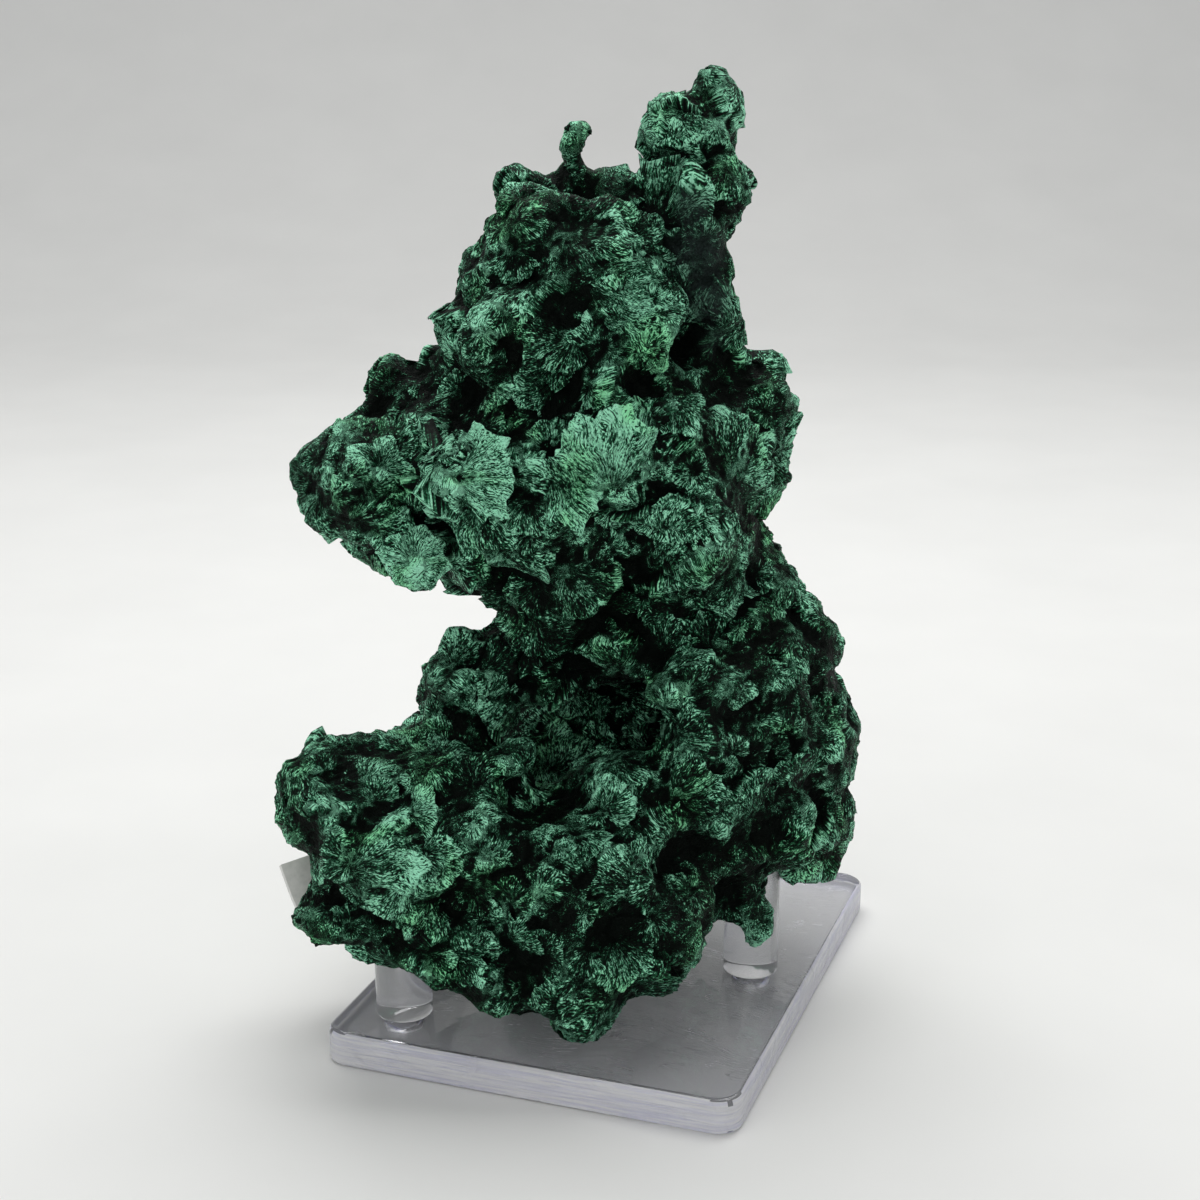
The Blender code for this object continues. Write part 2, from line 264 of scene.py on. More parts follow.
class Wire:
    """A socket of a node tree that adds Math nodes as it is used in an expression."""

    def __init__(self, tree, socket):
        self.tree = tree
        self.socket = socket

    def math(self, operation, *others):
        node = self.tree.nodes.new("ShaderNodeMath")
        node.operation = operation
        for place, value in zip(node.inputs, (self, *others)):
            feed(self.tree, place, value)
        return Wire(self.tree, node.outputs[0])

    def __add__(self, other):
        return self.math("ADD", other)

    __radd__ = __add__

    def __sub__(self, other):
        return self.math("SUBTRACT", other)

    def __rsub__(self, other):
        return (self * -1.0) + other

    def __mul__(self, other):
        return self.math("MULTIPLY", other)

    __rmul__ = __mul__

    def __truediv__(self, other):
        return self.math("DIVIDE", other)

    def __pow__(self, other):
        return self.math("POWER", other)

    def clipped(self):
        """Held between 0 and 1."""
        return self.math("MAXIMUM", 0.0).math("MINIMUM", 1.0)

    def between(self, low, high):
        """0 below low, 1 above high and even between."""
        return ((self - low) * (1.0 / (high - low))).clipped()


def feed(tree, socket, value):
    """Give a socket a link or a plain value."""
    if isinstance(value, Wire):
        tree.links.new(value.socket, socket)
    else:
        socket.default_value = value


class Finish:
    """One procedural material, built from expressions."""

    def __init__(self, name):
        self.material = bpy.data.materials.new(name)
        self.material.use_nodes = True
        self.tree = self.material.node_tree
        self.shader = self.tree.nodes["Principled BSDF"]

    def node(self, kind, settings=None, inputs=None, output=0):
        """Add a node of a type, with its settings first and then its sockets."""
        node = self.tree.nodes.new(kind)
        for name, value in (settings or {}).items():
            if name == "stops":
                self.set_stops(node.color_ramp, value)
            else:
                setattr(node, name, value)
        for name, value in (inputs or {}).items():
            feed(self.tree, node.inputs[name], value)
        return Wire(self.tree, node.outputs[output])

    @staticmethod
    def set_stops(ramp, stops):
        """Give a ramp its stops, each a place and a colour."""
        while len(ramp.elements) < len(stops):
            ramp.elements.new(0.5)
        for element, (place, colour) in zip(ramp.elements, stops):
            element.position = place
            element.color = (*colour, 1.0)

    def attribute(self, name, output):
        """A value that the mesh carries at each vertex."""
        return self.node("ShaderNodeAttribute", {"attribute_name": name}, output=output)

    def place(self):
        """The place on the object, in millimetres."""
        coordinates = self.node("ShaderNodeTexCoord", output="Object")
        return self.vector("SCALE", coordinates, Scale=1.0 / MM)

    def vector(self, operation, first, second=None, **named):
        """Vector maths."""
        node = self.tree.nodes.new("ShaderNodeVectorMath")
        node.operation = operation
        feed(self.tree, node.inputs[0], first)
        if second is not None:
            feed(self.tree, node.inputs[1], second)
        for name, value in named.items():
            feed(self.tree, node.inputs[name], value)
        return Wire(self.tree, node.outputs["Value" if operation in ("DOT_PRODUCT", "LENGTH") else "Vector"])

    def noise(self, place, scale, detail=2.0, roughness=0.5, distortion=0.0, along=None):
        """Noise from 0 to 1; with along it is drawn in four dimensions."""
        inputs = {"Vector": place, "Scale": scale, "Detail": detail, "Roughness": roughness,
                  "Distortion": distortion}
        settings = {"noise_dimensions": "3D"}
        if along is not None:
            settings = {"noise_dimensions": "4D"}
            inputs["W"] = along
        return self.node("ShaderNodeTexNoise", settings, inputs)

    def mix(self, factor, first, second, blend="MIX"):
        """Mix two colours."""
        node = self.tree.nodes.new("ShaderNodeMix")
        node.data_type = "RGBA"
        node.blend_type = blend
        feed(self.tree, node.inputs["Factor"], factor)
        feed(self.tree, node.inputs[6], first)
        feed(self.tree, node.inputs[7], second)
        return Wire(self.tree, node.outputs[2])

    def ramp(self, factor, stops):
        """A colour for each value, from a ramp's stops."""
        return self.node("ShaderNodeValToRGB", {"stops": stops}, {"Fac": factor})

    def bump(self, height, strength, distance):
        """Raise the surface by a height, as shading."""
        return self.node(
            "ShaderNodeBump", None, {"Height": height, "Strength": strength, "Distance": distance * MM},
        )

    def set(self, **values):
        """Set the shader's own sockets, named with _ for a space."""
        for name, value in values.items():
            feed(self.tree, self.shader.inputs[name.replace("_", " ")], value)


# What a user would change

def colour_setting(name, description, default):
    """A colour that a user can change."""
    return FloatVectorProperty(
        name=name, description=description, subtype="COLOR", default=default, min=0.0, max=1.0,
    )


def number_setting(name, description, default, subtype="NONE"):
    """A number that a user can change."""
    return FloatProperty(name=name, description=description, default=default, subtype=subtype)


class StoneSettings(bpy.types.PropertyGroup):
    """Relief and colours of the malachite."""

    faces: IntProperty(
        name="Skin faces", description="Four-sided faces in the stone's skin", default=96000, min=10000,
    )
    ridge_height: number_setting("Ridge height", "Height of the winding ridges in millimetres", 1.9)
    knob_height: number_setting("Knob height", "Height of the rounded knobs in millimetres", 1.7)
    sink: number_setting("Sink", "Millimetres that the skin goes in to make room for its fans", 1.0)
    grain_height: number_setting("Grain height", "Height of the crumbly grain in millimetres", 0.9)
    # The darkest stop is also the colour of the painted shade in the deepest hollows.
    darkest_and_shade_colour: colour_setting("Recess colour", "Colour of the deepest hollows", (0.0004, 0.0022, 0.0011))
    deep_colour: colour_setting("Deep green", "Colour of the darker surfaces", (0.0026, 0.0140, 0.0068))
    middle_colour: colour_setting("Middle green", "Colour of the open surfaces", (0.0085, 0.0600, 0.0270))
    # Mint and pale mint are also reached by the painted highlight on crests and fibre ends.
    mint_colour: colour_setting("Mint", "Colour of the fibres' crests", (0.0400, 0.2150, 0.1060))
    pale_colour: colour_setting("Pale mint", "Colour of the brightest fibre ends", (0.4100, 0.9300, 0.6400))
    slate_colour: colour_setting("Slate", "Colour of the smooth dark columns", (0.006, 0.011, 0.010))


class AcrylicSettings(bpy.types.PropertyGroup):
    """Clear and frosted acrylic of the stand."""

    tint: colour_setting("Edge tint", "Colour that long ways through the acrylic take", (0.80, 0.80, 0.95))
    tint_density: number_setting("Tint density", "How fast the acrylic takes its tint, per metre", 4.0)
    index: number_setting("Refractive index", "Index of refraction", 1.49)
    recess_radius: number_setting("Recess radius", "Radius of the hole under each peg, in millimetres", 5.6)
    recess_depth: number_setting("Recess depth", "Depth of the hole under each peg, in millimetres", 6.5)
    frosted_colour: colour_setting("Arm colour", "Colour of the satin side arm", (0.46, 0.47, 0.44))


class StageSettings(bpy.types.PropertyGroup):
    """Floor, backdrop, lights and camera."""

    floor_colour: colour_setting("Floor colour", "Colour of the pale sweep", (0.80, 0.80, 0.78))
    sky_strength: number_setting("Ambient light", "Strength of the surrounding light", 0.45)
    key_power: number_setting("Key light", "Power of the large soft light above", 8.8, "POWER")
    fill_power: number_setting("Fill light", "Power of the soft light from the front", 2.3, "POWER")


# The malachite's material, shared by all its pieces. The colours run from the darkest green to pale as the
# brightness goes from 0 to 1, and each pattern shifts the brightness by its weight. Painted highlight on
# crests and fan lips raises it, painted shade in hollows, pits and under the fans lowers it, and the tone
# brings painted light and shade from the zones.

BASE_BRIGHTNESS = 0.215
VEIN_LEVEL = 0.53
VEIN_SHARPNESS = 22.0
PIT_SHADE_LEVELS = (0.36, 0.45)
OLIVE_SHARE = 0.45
OLIVE_SHADE = (0.55, 1.0, 0.42, 1.0)
SLATE_BLOOM = (0.035, 0.055, 0.050, 1.0)
STONE_RELIEF = 0.9
STONE_SHEEN = 0.08


def malachite_finish(settings):
    """Dark to mint fibrous malachite, drawn along the fibres that the meshes carry, with a painted highlight
    on crests and painted shade in hollows and pits.
    """
    finish = Finish("fibrous_malachite")
    place = finish.place()
    ray = finish.attribute("ray", "Vector")
    reach = finish.attribute("reach", "Fac")
    crest = finish.attribute("crest", "Fac")
    hollow = finish.attribute("hollow", "Fac")
    tone = finish.attribute("tone", "Fac")
    slate = finish.attribute("slate", "Fac")

    warp = finish.noise(place, 0.35, 2.0)
    hair = finish.noise(ray, 4.6, 1.0, 0.6, 0.1, reach * 0.26 + warp * 0.4)
    fine_fibre = finish.noise(ray, 2.7, 1.0, 0.6, 0.15, reach * 0.12 + warp * 0.4)
    wide_fibre = finish.noise(ray, 0.85, 1.0, 0.5, 0.3, reach * 0.07 + warp)
    crumb = finish.noise(place, 1.3, 2.5, 0.65, 0.3)
    rubble = finish.noise(place, 0.30, 3.0, 0.62, 0.7)
    patches = finish.noise(place, 0.085, 2.0, 0.6, 0.8)
    veins = 1.0 - ((rubble - VEIN_LEVEL) * VEIN_SHARPNESS).math("ABSOLUTE").clipped()
    # Painted shade in the low places of the rubble bump.
    pit_shade = 1.0 - rubble.between(*PIT_SHADE_LEVELS)

    # Painted light and shade: crests brighter, hollows and pits darker, and the tone's zones both.
    brightness = crest * 0.55 + tone * 0.50 + veins * 0.24 - pit_shade * 0.24 - hollow * 1.15 + BASE_BRIGHTNESS
    for pattern, weight in (
        (hair, 3.6), (fine_fibre, 1.9), (wide_fibre, 0.8), (crumb, 1.2), (patches, 1.1),
    ):
        brightness = brightness + (pattern - 0.5) * weight
    colour = finish.ramp(brightness, [
        (0.0, settings.darkest_and_shade_colour), (0.22, settings.deep_colour), (0.46, settings.middle_colour),
        (0.73, settings.mint_colour), (1.0, settings.pale_colour),
    ])
    olive = finish.noise(place, 0.06, 2.0, 0.5, 0.4).between(0.52, 0.72) * OLIVE_SHARE
    colour = finish.mix(olive, colour, OLIVE_SHADE, "MULTIPLY")
    slate_tone = finish.mix(crumb.between(0.35, 0.8), (*settings.slate_colour, 1.0), SLATE_BLOOM)
    colour = finish.mix(slate, colour, slate_tone)

    smooth_columns = 1.0 - slate * 0.8
    height = fine_fibre * 0.7 * smooth_columns + crumb * 1.0 + rubble * 2.2 + veins * 0.2
    finish.set(
        Base_Color=colour,
        Roughness=(0.66 - hair * 0.22).clipped(),
        Normal=finish.bump(height, 0.9, STONE_RELIEF),
        Specular_IOR_Level=STONE_SHEEN,
    )
    return finish.material


# The stone's skin

# Zones of the skin, each a photo pixel, a radius in millimetres and a shift of the tone. The darker zones put
# painted shade into crevices and darken other masses; the lighter zones brighten the main fans, partly with
# painted light.
TONE_AND_LIGHT_ZONES = [
    ((570, 190), 12, -0.55), ((385, 395), 12, -0.60), ((545, 385), 10, -0.55), ((640, 610), 20, -0.60),
    ((545, 640), 16, -0.45), ((700, 250), 9, -0.35), ((610, 740), 12, -0.25), ((350, 520), 11, -0.35),
    ((520, 650), 10, -0.35), ((840, 800), 12, -0.15), ((735, 900), 10, -0.25), ((320, 925), 8, -0.35),
    ((480, 480), 17, 0.34), ((610, 460), 17, 0.38), ((415, 562), 10, 0.49), ((640, 300), 15, 0.38),
    ((380, 458), 9, 0.26), ((516, 185), 8, 0.26), ((655, 120), 12, 0.30), ((530, 775), 10, 0.45),
    ((385, 880), 13, 0.34), ((420, 812), 8, 0.34), ((605, 815), 9, 0.22), ((600, 375), 8, 0.22),
    ((690, 690), 12, 0.15), ((745, 480), 11, 0.19), ((675, 515), 8, 0.30), ((480, 700), 8, 0.30),
    ((470, 480), 8, 0.38), ((615, 450), 9, 0.42), ((415, 562), 6, 0.42), ((545, 765), 7, 0.40),
    ((560, 990), 24, -0.30), ((460, 985), 16, -0.22), ((660, 920), 18, -0.24), ((800, 720), 30, -0.26),
    ((320, 790), 14, -0.20), ((600, 208), 9, -0.50), ((760, 640), 18, -0.22), ((660, 370), 10, -0.25),
    ((480, 300), 12, -0.12),
]
# Smooth slate-coloured columns, each a place in the view's axes and a radius, in millimetres
SLATE_ZONES = [((22, -16, 220), 8), ((24, -16, 207), 7), ((26, -14, 195), 6), ((19, -18, 232), 6)]
SLATE_SHARE = 0.75
# Relief of the skin: widths and heights in millimetres, and the first seed of each noise; then the
# sizes of the cells that even out the skin, and the thickness below which it isn't sunk
BEND_WIDTH = 9.0
BEND_REACH = 2.2
BEND_SEED = 3
RIDGE_WIDTH = 13.0
RIDGE_SEED = 21
RIDGE_MEAN = 0.35
KNOB_WIDTH = 9.0
KNOB_SEED = 40
KNOB_LEVEL = 0.55
GRAIN_WIDTH = 3.3
GRAIN_SEED = 101
FIBRE_HEIGHT = 0.40
FIBRE_SEED = 140
ROUGH_VOXEL = 1.7
DRAFT_VOXEL = 1.6
THIN_STONE = 9.0


def clear_of_stand(points):
    """Keep the skin out of the pegs' wells."""
    points = points.copy()
    for name in PEG_NODES:
        low, high = (np.array(corner) for corner in node_box(name))
        middle = (low + high) / 2
        radius = (high[0] - low[0]) / 2 + FIT_GAP
        top = high[2] + FIT_GAP
        aside = points[:, :2] - middle[:2]
        away = np.linalg.norm(aside, axis=1)
        inside = (away < radius) & (points[:, 2] < top)
        upward = inside & (top - points[:, 2] < radius - away)
        sideways = inside & ~upward
        points[upward, 2] = top
        push = (radius / np.maximum(away, NEAR_AXIS))[:, None]
        points[sideways, :2] = middle[:2] + (aside * push)[sideways]
    return points


def within_box(points, node):
    """Ease the points that come near a side of the node's box to its inside."""
    low, high = (np.array(corner) for corner in node_box(node))
    near_high = np.maximum(points - (high - BOX_EASE), 0.0)
    near_low = np.maximum((low + BOX_EASE) - points, 0.0)
    points = points - near_high + BOX_EASE * (1.0 - np.exp(-near_high / BOX_EASE))
    return points + near_low - BOX_EASE * (1.0 - np.exp(-near_low / BOX_EASE))


def skin_zone(tree, pixel):
    """The place on the skin that shows at a pixel of the photograph."""
    origin, way = photo_ray(*pixel)
    place = tree.ray_cast(origin, way)[0]
    if place is None:
        raise RuntimeError(f"no stone shows at pixel {pixel}")
    return np.array(place)


def zone_shift(points, tree):
    """The tone, with its painted light and shade, and the slate share of each point from the named zones."""
    tone = np.zeros(len(points))
    for pixel, radius, shift in TONE_AND_LIGHT_ZONES:
        away = np.linalg.norm(points - skin_zone(tree, pixel), axis=1) / radius
        tone += shift * np.exp(-away ** 2)
    slate = np.zeros(len(points))
    for place, radius in SLATE_ZONES:
        away = np.linalg.norm(points - np.array(view_point(*place)), axis=1) / radius
        slate = np.maximum(slate, SLATE_SHARE * (1.0 - smooth_step(0.5, 1.4, away)))
    return tone, slate


def write_traits(mesh, tree, points, rays, reaches, crest, hollow, tones_and_light):
    """Store what the malachite's material reads: the fibres' run, the painted light on crests, the painted
    shade in hollows, and the tones with their painted light and shade.
    """
    tone, slate = zone_shift(points, tree)
    traits = {
        "ray": rays, "reach": reaches, "crest": crest, "hollow": hollow, "tone": tone + tones_and_light, "slate": slate,
    }
    for name, values in traits.items():
        write_attribute(mesh, name, values)


def coarse_relief(points, settings):
    """Ridges, knobs and ledges a few millimetres wide."""
    bent = points + BEND_REACH * noise_vectors(points / BEND_WIDTH, BEND_SEED)
    ridge = layered_noise(bent / RIDGE_WIDTH, 2, RIDGE_SEED, ridged=True)
    nearest, following, number = nearest_cells(bent / KNOB_WIDTH, KNOB_SEED)
    knob = KNOB_LEVEL - nearest + 0.5 * np.minimum(following - nearest, 0.4)
    return settings.ridge_height * (ridge - RIDGE_MEAN) + settings.knob_height * knob * (0.4 + number)


def relief_lights(points, normals, edges):
    """How far each vertex stands out of or sinks into its surroundings: a painted highlight where it stands
    out and painted shade where it sinks in.
    """
    near = smoothed(points, edges, 4)
    middle = smoothed(near, edges, 14)
    far = smoothed(middle, edges, 60)
    fine = ((points - near) * normals).sum(1)
    wide = ((points - middle) * normals).sum(1)
    broad = ((points - far) * normals).sum(1)
    # Painted light: brighter where the skin stands out, darker where it sinks in; painted shade in the
    # hollows.
    crest = np.clip(fine * 1.3 + wide * 0.40 + broad * 0.10, -1.0, 1.0)
    hollow = np.clip(-(fine * 0.9 + wide * 0.55 + broad * 0.22) - 0.10, 0.0, 1.0)
    return crest, hollow


# Fans of fibres

# Main fans that the photograph shows: root pixel, heading in degrees on the picture, radius,
# spread in degrees, rise, tone (partly painted light on the bright fans), and how far the fan clings to the
# skin
MAIN_FANS = [
    ((448, 479), 5, 17, 120, 3.0, 0.42, 0.50),
    ((476, 504), -80, 14, 140, 2.6, 0.05, 0.55),
    ((612, 494), 100, 20, 110, 4.0, 0.40, 0.45),
    ((580, 500), 120, 15, 60, 3.5, 0.25, 0.50),
    ((550, 468), -62, 15, 80, 4.0, 0.12, 0.45),
    ((585, 285), -6, 27, 105, 2.0, 0.28, 0.80),
    ((575, 338), -120, 9, 120, 3.0, 0.28, 0.60),
    ((522, 198), 120, 9, 170, 2.0, 0.20, 0.85),
    ((690, 112), 160, 13, 120, 2.0, 0.22, 0.85),
    ((415, 562), 0, 10, 360, 2.6, 0.45, 0.75),
    ((742, 506), 70, 11, 150, 2.4, 0.12, 0.70),
    ((676, 522), 80, 8, 170, 2.8, 0.30, 0.60),
    ((672, 402), -40, 9, 160, 2.4, 0.05, 0.70),
    ((545, 765), 195, 24, 60, 2.4, 0.42, 0.90),
    ((560, 775), -40, 12, 90, 2.6, 0.25, 0.70),
    ((345, 872), 15, 18, 90, 2.6, 0.32, 0.85),
    ((420, 855), -30, 10, 190, 2.4, 0.10, 0.75),
    ((405, 812), 15, 9, 130, 2.2, 0.38, 0.80),
    ((450, 952), -15, 12, 140, 2.6, 0.00, 0.80),
    ((600, 812), 40, 9, 160, 3.0, 0.28, 0.60),
    ((612, 940), -70, 13, 150, 2.2, 0.00, 0.90),
    ((380, 470), 60, 10, 200, 2.6, 0.28, 0.80),
    ((640, 700), 75, 12, 100, 3.0, 0.20, 0.60),
    ((710, 650), 110, 12, 90, 3.0, 0.10, 0.70),
]
# Scattered fans: how many, how far apart, how large, and the smallest and largest of each range
FAN_COUNT = 860
FAN_SPACING = 5.8
FAN_SEED = 20
SMALLEST_FAN = 5.5
FAN_GROWTH = 14.0
FAN_SPREADS = (1.1, 2.5)
FAN_RISES = (0.12, 0.34)
HEADING_WIDTH = 30.0
HEADING_SEED = 31
HEADING_SCATTER = 0.40
TONE_SCATTER = 0.15
ROCKY_WIDTH = 23.0
ROCKY_SEED = 41
ROCKY_LEVEL = 0.12
ROCKY_SHARE = 0.6
THIN_SHARE = 0.42
FAR_SIDE = 80.0
# Faces of a scattered fan, of its coarse core, and the size of a main fan's faces in millimetres
FAN_ROWS = 8
FAN_COLUMNS = 26
CORE_ROWS = 4
CORE_COLUMNS = 12
CORE_SHARE = 0.95
CORE_DROP = 0.25
MAIN_FACE_LENGTH = 0.6
MAIN_FACE_WIDTH = 0.42
# A fan's form: the spread in radians past which it closes on itself, shares of its radius, and
# heights and widths in millimetres
FULL_TURN = 6.0
ROOT_SHARE = 0.08
LOBE_WIDTH = 5.5
LOBE_SHARE = 0.36
NOTCH_WIDTH = 1.7
NOTCH_SHARE = 0.09
SPLIT_WIDTH = 3.6
SPLIT_SHARE = 0.30
WRINKLE_WIDTH = 1.9
WRINKLE_HEIGHT = 0.40
WAVE_SHARE = 0.11
DOME_HEIGHT = 0.9
ROOT_DROP = 0.55
CRUMPLE_SEED = 171
UNDERSIDE_SHARE = 0.12
RAY_SEED = 150
RAY_STEP = 7.3
# Where the dark thumb stands, with only small fans on it
THUMB_PIXEL = (398, 400)
THUMB_REACH = 13.0


class Fan:
    """Where a fan of fibres stands, which way it spreads and how it differs from the others."""

    def __init__(self, root, outward, heading, radius, spread, rise, tone, number):
        self.root = Vector(root)
        self.outward = Vector(outward).normalized()
        heading = Vector(heading)
        self.heading = (heading - self.outward * heading.dot(self.outward)).normalized()
        self.side = self.outward.cross(self.heading)
        self.radius = radius
        self.spread = spread
        self.rise = rise
        self.cling = 1.0
        self.tone = tone
        self.number = number

    def depth(self):
        """How far the fan's underside is sunk below its top."""
        return 1.3 + self.rise * 0.8 + (1.0 - self.cling) * self.radius * 0.25

    def lip(self, angles):
        """How far the ragged lip reaches, the wrinkles and the lobes at each angle."""
        ring = np.stack([np.cos(angles), np.sin(angles), np.full(len(angles), self.number * 1.7)], 1)
        arc = self.radius * ring
        ragged = LOBE_SHARE * gradient_noise(arc / LOBE_WIDTH, self.number)
        ragged += NOTCH_SHARE * gradient_noise(arc / NOTCH_WIDTH, self.number + 1)
        split = smooth_step(0.55, 0.95, gradient_noise(arc / SPLIT_WIDTH, self.number + 2))
        wrinkle = gradient_noise(arc / WRINKLE_WIDTH, self.number + 3)
        lobe = gradient_noise(arc / LOBE_WIDTH, self.number + 9)
        return 1.0 + ragged - SPLIT_SHARE * split, wrinkle, lobe

    def grid(self, drape, rows, columns):
        """The top's points, row by row from the root, with the angle, reach and wrinkle of each."""
        angles = np.linspace(-0.5, 0.5, columns + 1) * self.spread
        lip, wrinkle, lobe = self.lip(angles)
        held = np.ones(len(angles))
        if self.spread < FULL_TURN:
            held = 1.0 - np.abs(angles / self.spread * 2.0) ** 5
        points = []
        reaches = []
        walks = [(self.root, self.outward, 0.0)] * len(angles)
        for step in np.linspace(ROOT_SHARE, 1.0, rows + 1):
            slope = self.rise * step ** 1.6 + DOME_HEIGHT * math.sin(math.pi * step)
            for column, angle in enumerate(angles):
                reach = self.radius * step * (1.0 + (lip[column] - 1.0) * step)
                ahead = self.heading * math.cos(angle) + self.side * math.sin(angle)
                foot, normal, walked = walks[column]
                way = (ahead - normal * ahead.dot(normal) * 0.9).normalized()
                foot, normal = drape.find_nearest(foot + way * (reach - walked))[:2]
                walks[column] = (foot, normal, reach)
                skin = (self.root + ahead * reach).lerp(foot, self.cling)
                lift = slope + WAVE_SHARE * self.radius * lobe[column] * step ** 2
                lift = (lift + WRINKLE_HEIGHT * wrinkle[column] * step) * held[column] - ROOT_DROP
                raised = (self.outward + normal).normalized()
                points.append(skin + raised * float(lift))
                reaches.append(reach)
        flat = np.array(points)
        crumple = 0.7 * layered_noise(flat / 3.4, 2, CRUMPLE_SEED, ridged=True)
        crumple += 1.1 * gradient_noise(flat / 6.5, CRUMPLE_SEED + 1)
        crumple += 0.35 * gradient_noise(flat / 1.5, CRUMPLE_SEED + 2)
        points = [point + self.outward * float(shift) for point, shift in zip(points, crumple)]
        return points, np.tile(angles, rows + 1), np.array(reaches), np.tile(wrinkle, rows + 1)

    def closed(self, drape, rows, columns, depth):
        """The fan as a closed body: points, faces, and the angle, reach and wrinkle of each point."""
        points, angles, reaches, wrinkles = self.grid(drape, rows, columns)
        faces, rim = fan_faces(rows, columns)
        sunk = [
            points[corner] - self.outward * depth - (points[corner] - self.root) * UNDERSIDE_SHARE
            for corner in rim
        ]
        points += sunk
        points.append(sum(sunk, Vector()) / len(sunk) - self.outward * 0.5)
        angles = np.concatenate([angles, angles[rim], [0.0]])
        reaches = np.concatenate([reaches, reaches[rim], [0.0]])
        wrinkles = np.concatenate([wrinkles, wrinkles[rim] - 0.5, [0.0]])
        return np.array(points), faces, angles, reaches, wrinkles


def fan_faces(rows, columns):
    """Faces of a closed fan: its top, its skirt and its bottom; and the top's rim."""
    width = columns + 1
    corners = [row * width + column for row in range(rows) for column in range(columns)]
    top = [(corner, corner + 1, corner + width + 1, corner + width) for corner in corners]
    rim = list(range(width))
    rim += [row * width + columns for row in range(1, rows + 1)]
    rim += [rows * width + column for column in range(columns - 1, -1, -1)]
    rim += [row * width for row in range(rows - 1, 0, -1)]
    first = (rows + 1) * width
    middle = first + len(rim)
    around = []
    for place in range(len(rim)):
        following = (place + 1) % len(rim)
        around.append((rim[following], rim[place], first + place, first + following))
        around.append((first + following, first + place, middle))
    return top + around, rim


def fibre_rays(angles, radii, numbers, points):
    """The way along the fibres at each point, bent a little, for the material's fine lines."""
    bent = angles + 0.11 * gradient_noise(points / 6.0, RAY_SEED)
    bent += 0.03 * gradient_noise(points / 2.0, RAY_SEED + 1)
    return np.stack([np.cos(bent) * radii, np.sin(bent) * radii, numbers * RAY_STEP], 1)


def picture_way(angle):
    """A heading on the picture, in degrees anticlockwise from the right, as a way in space."""
    return view_point(math.cos(math.radians(angle)), 0.0, math.sin(math.radians(angle)))


def scattered_fans(skin, drape):
    """Fans spread over the whole stone; those near each other lean roughly the same way."""
    random = np.random.default_rng(FAN_SEED)
    points = mesh_points(skin)
    normals = mesh_normals(skin)
    kept = np.empty((0, 3))
    fans = []
    thumb = skin_zone(drape, THUMB_PIXEL)
    for index in random.permutation(len(points)):
        if len(fans) == FAN_COUNT:
            break
        root = points[index]
        if len(kept) and np.min(np.linalg.norm(kept - root, axis=1)) < FAN_SPACING:
            continue
        kept = np.vstack([kept, root])
        drift = noise_vectors(root[None] / HEADING_WIDTH, HEADING_SEED)[0]
        heading = drift * 2.0 + random.normal(size=3) * HEADING_SCATTER
        radius = SMALLEST_FAN + FAN_GROWTH * random.random() ** 1.6
        inward = Vector(-normals[index])
        behind = drape.ray_cast(Vector(root) + inward * 1.5, inward)[3]
        radius = min(radius, THIN_SHARE * ((behind or FAR_SIDE) + 1.5) + 1.0)
        rocky = gradient_noise(root[None] / ROCKY_WIDTH, ROCKY_SEED)[0] > ROCKY_LEVEL
        if rocky or np.linalg.norm(root - thumb) < THUMB_REACH:
            radius *= ROCKY_SHARE
        fans.append(Fan(
            root, normals[index], heading, radius, random.uniform(*FAN_SPREADS),
            random.uniform(*FAN_RISES) * radius, random.normal() * TONE_SCATTER, 1000 + len(fans),
        ))
    return fans


def core_fan(fan):
    """The same fan for the skin's core, a little smaller, so that the fine fan covers it."""
    return Fan(
        fan.root, fan.outward, fan.heading, fan.radius * CORE_SHARE, fan.spread * CORE_SHARE,
        fan.rise - CORE_DROP, fan.tone, fan.number,
    )


def fans_core(fans, drape):
    """All fans as one coarse mesh, and a search tree of their tops with the number of faces in each."""
    vertices = []
    faces = []
    top_faces = []
    for fan in fans:
        depth = 2.2 + fan.rise
        points, shape = core_fan(fan).closed(drape, CORE_ROWS, CORE_COLUMNS, depth)[:2]
        moved = [tuple(corner + len(vertices) for corner in face) for face in shape]
        vertices += (points * MM).tolist()
        faces += moved
        top_faces += moved[:CORE_ROWS * CORE_COLUMNS]
    mesh = bpy.data.meshes.new("fan_core")
    mesh.from_pydata(vertices, [], faces)
    tree = BVHTree.FromPolygons([Vector(vertex) / MM for vertex in vertices], top_faces)
    return mesh, tree


def joined(first, second):
    """Two meshes as one."""
    shape = bmesh.new()
    shape.from_mesh(first)
    shape.from_mesh(second)
    mesh = bpy.data.meshes.new("joined")
    shape.to_mesh(mesh)
    shape.free()
    return mesh


def search_tree(mesh, points):
    """A search tree of a mesh in millimetres."""
    faces = [face.vertices[:] for face in mesh.polygons]
    return BVHTree.FromPolygons([Vector(point) for point in points], faces)


def sunk_points(mesh, edges, sink):
    """The mesh's points moved in, less where the stone is thin."""
    points = mesh_points(mesh)
    normals = smoothed(mesh_normals(mesh), edges, 3)
    tree = search_tree(mesh, points)
    depth = []
    for point, normal in zip(points, normals):
        inward = Vector(-normal)
        behind = tree.ray_cast(Vector(point) + inward * 0.5, inward)[3]
        depth.append(min(sink, max(0.0, ((behind or FAR_SIDE) - THIN_STONE) * 0.15)))
    depth = smoothed(np.array(depth)[:, None], edges, 4)
    return points - normals * depth


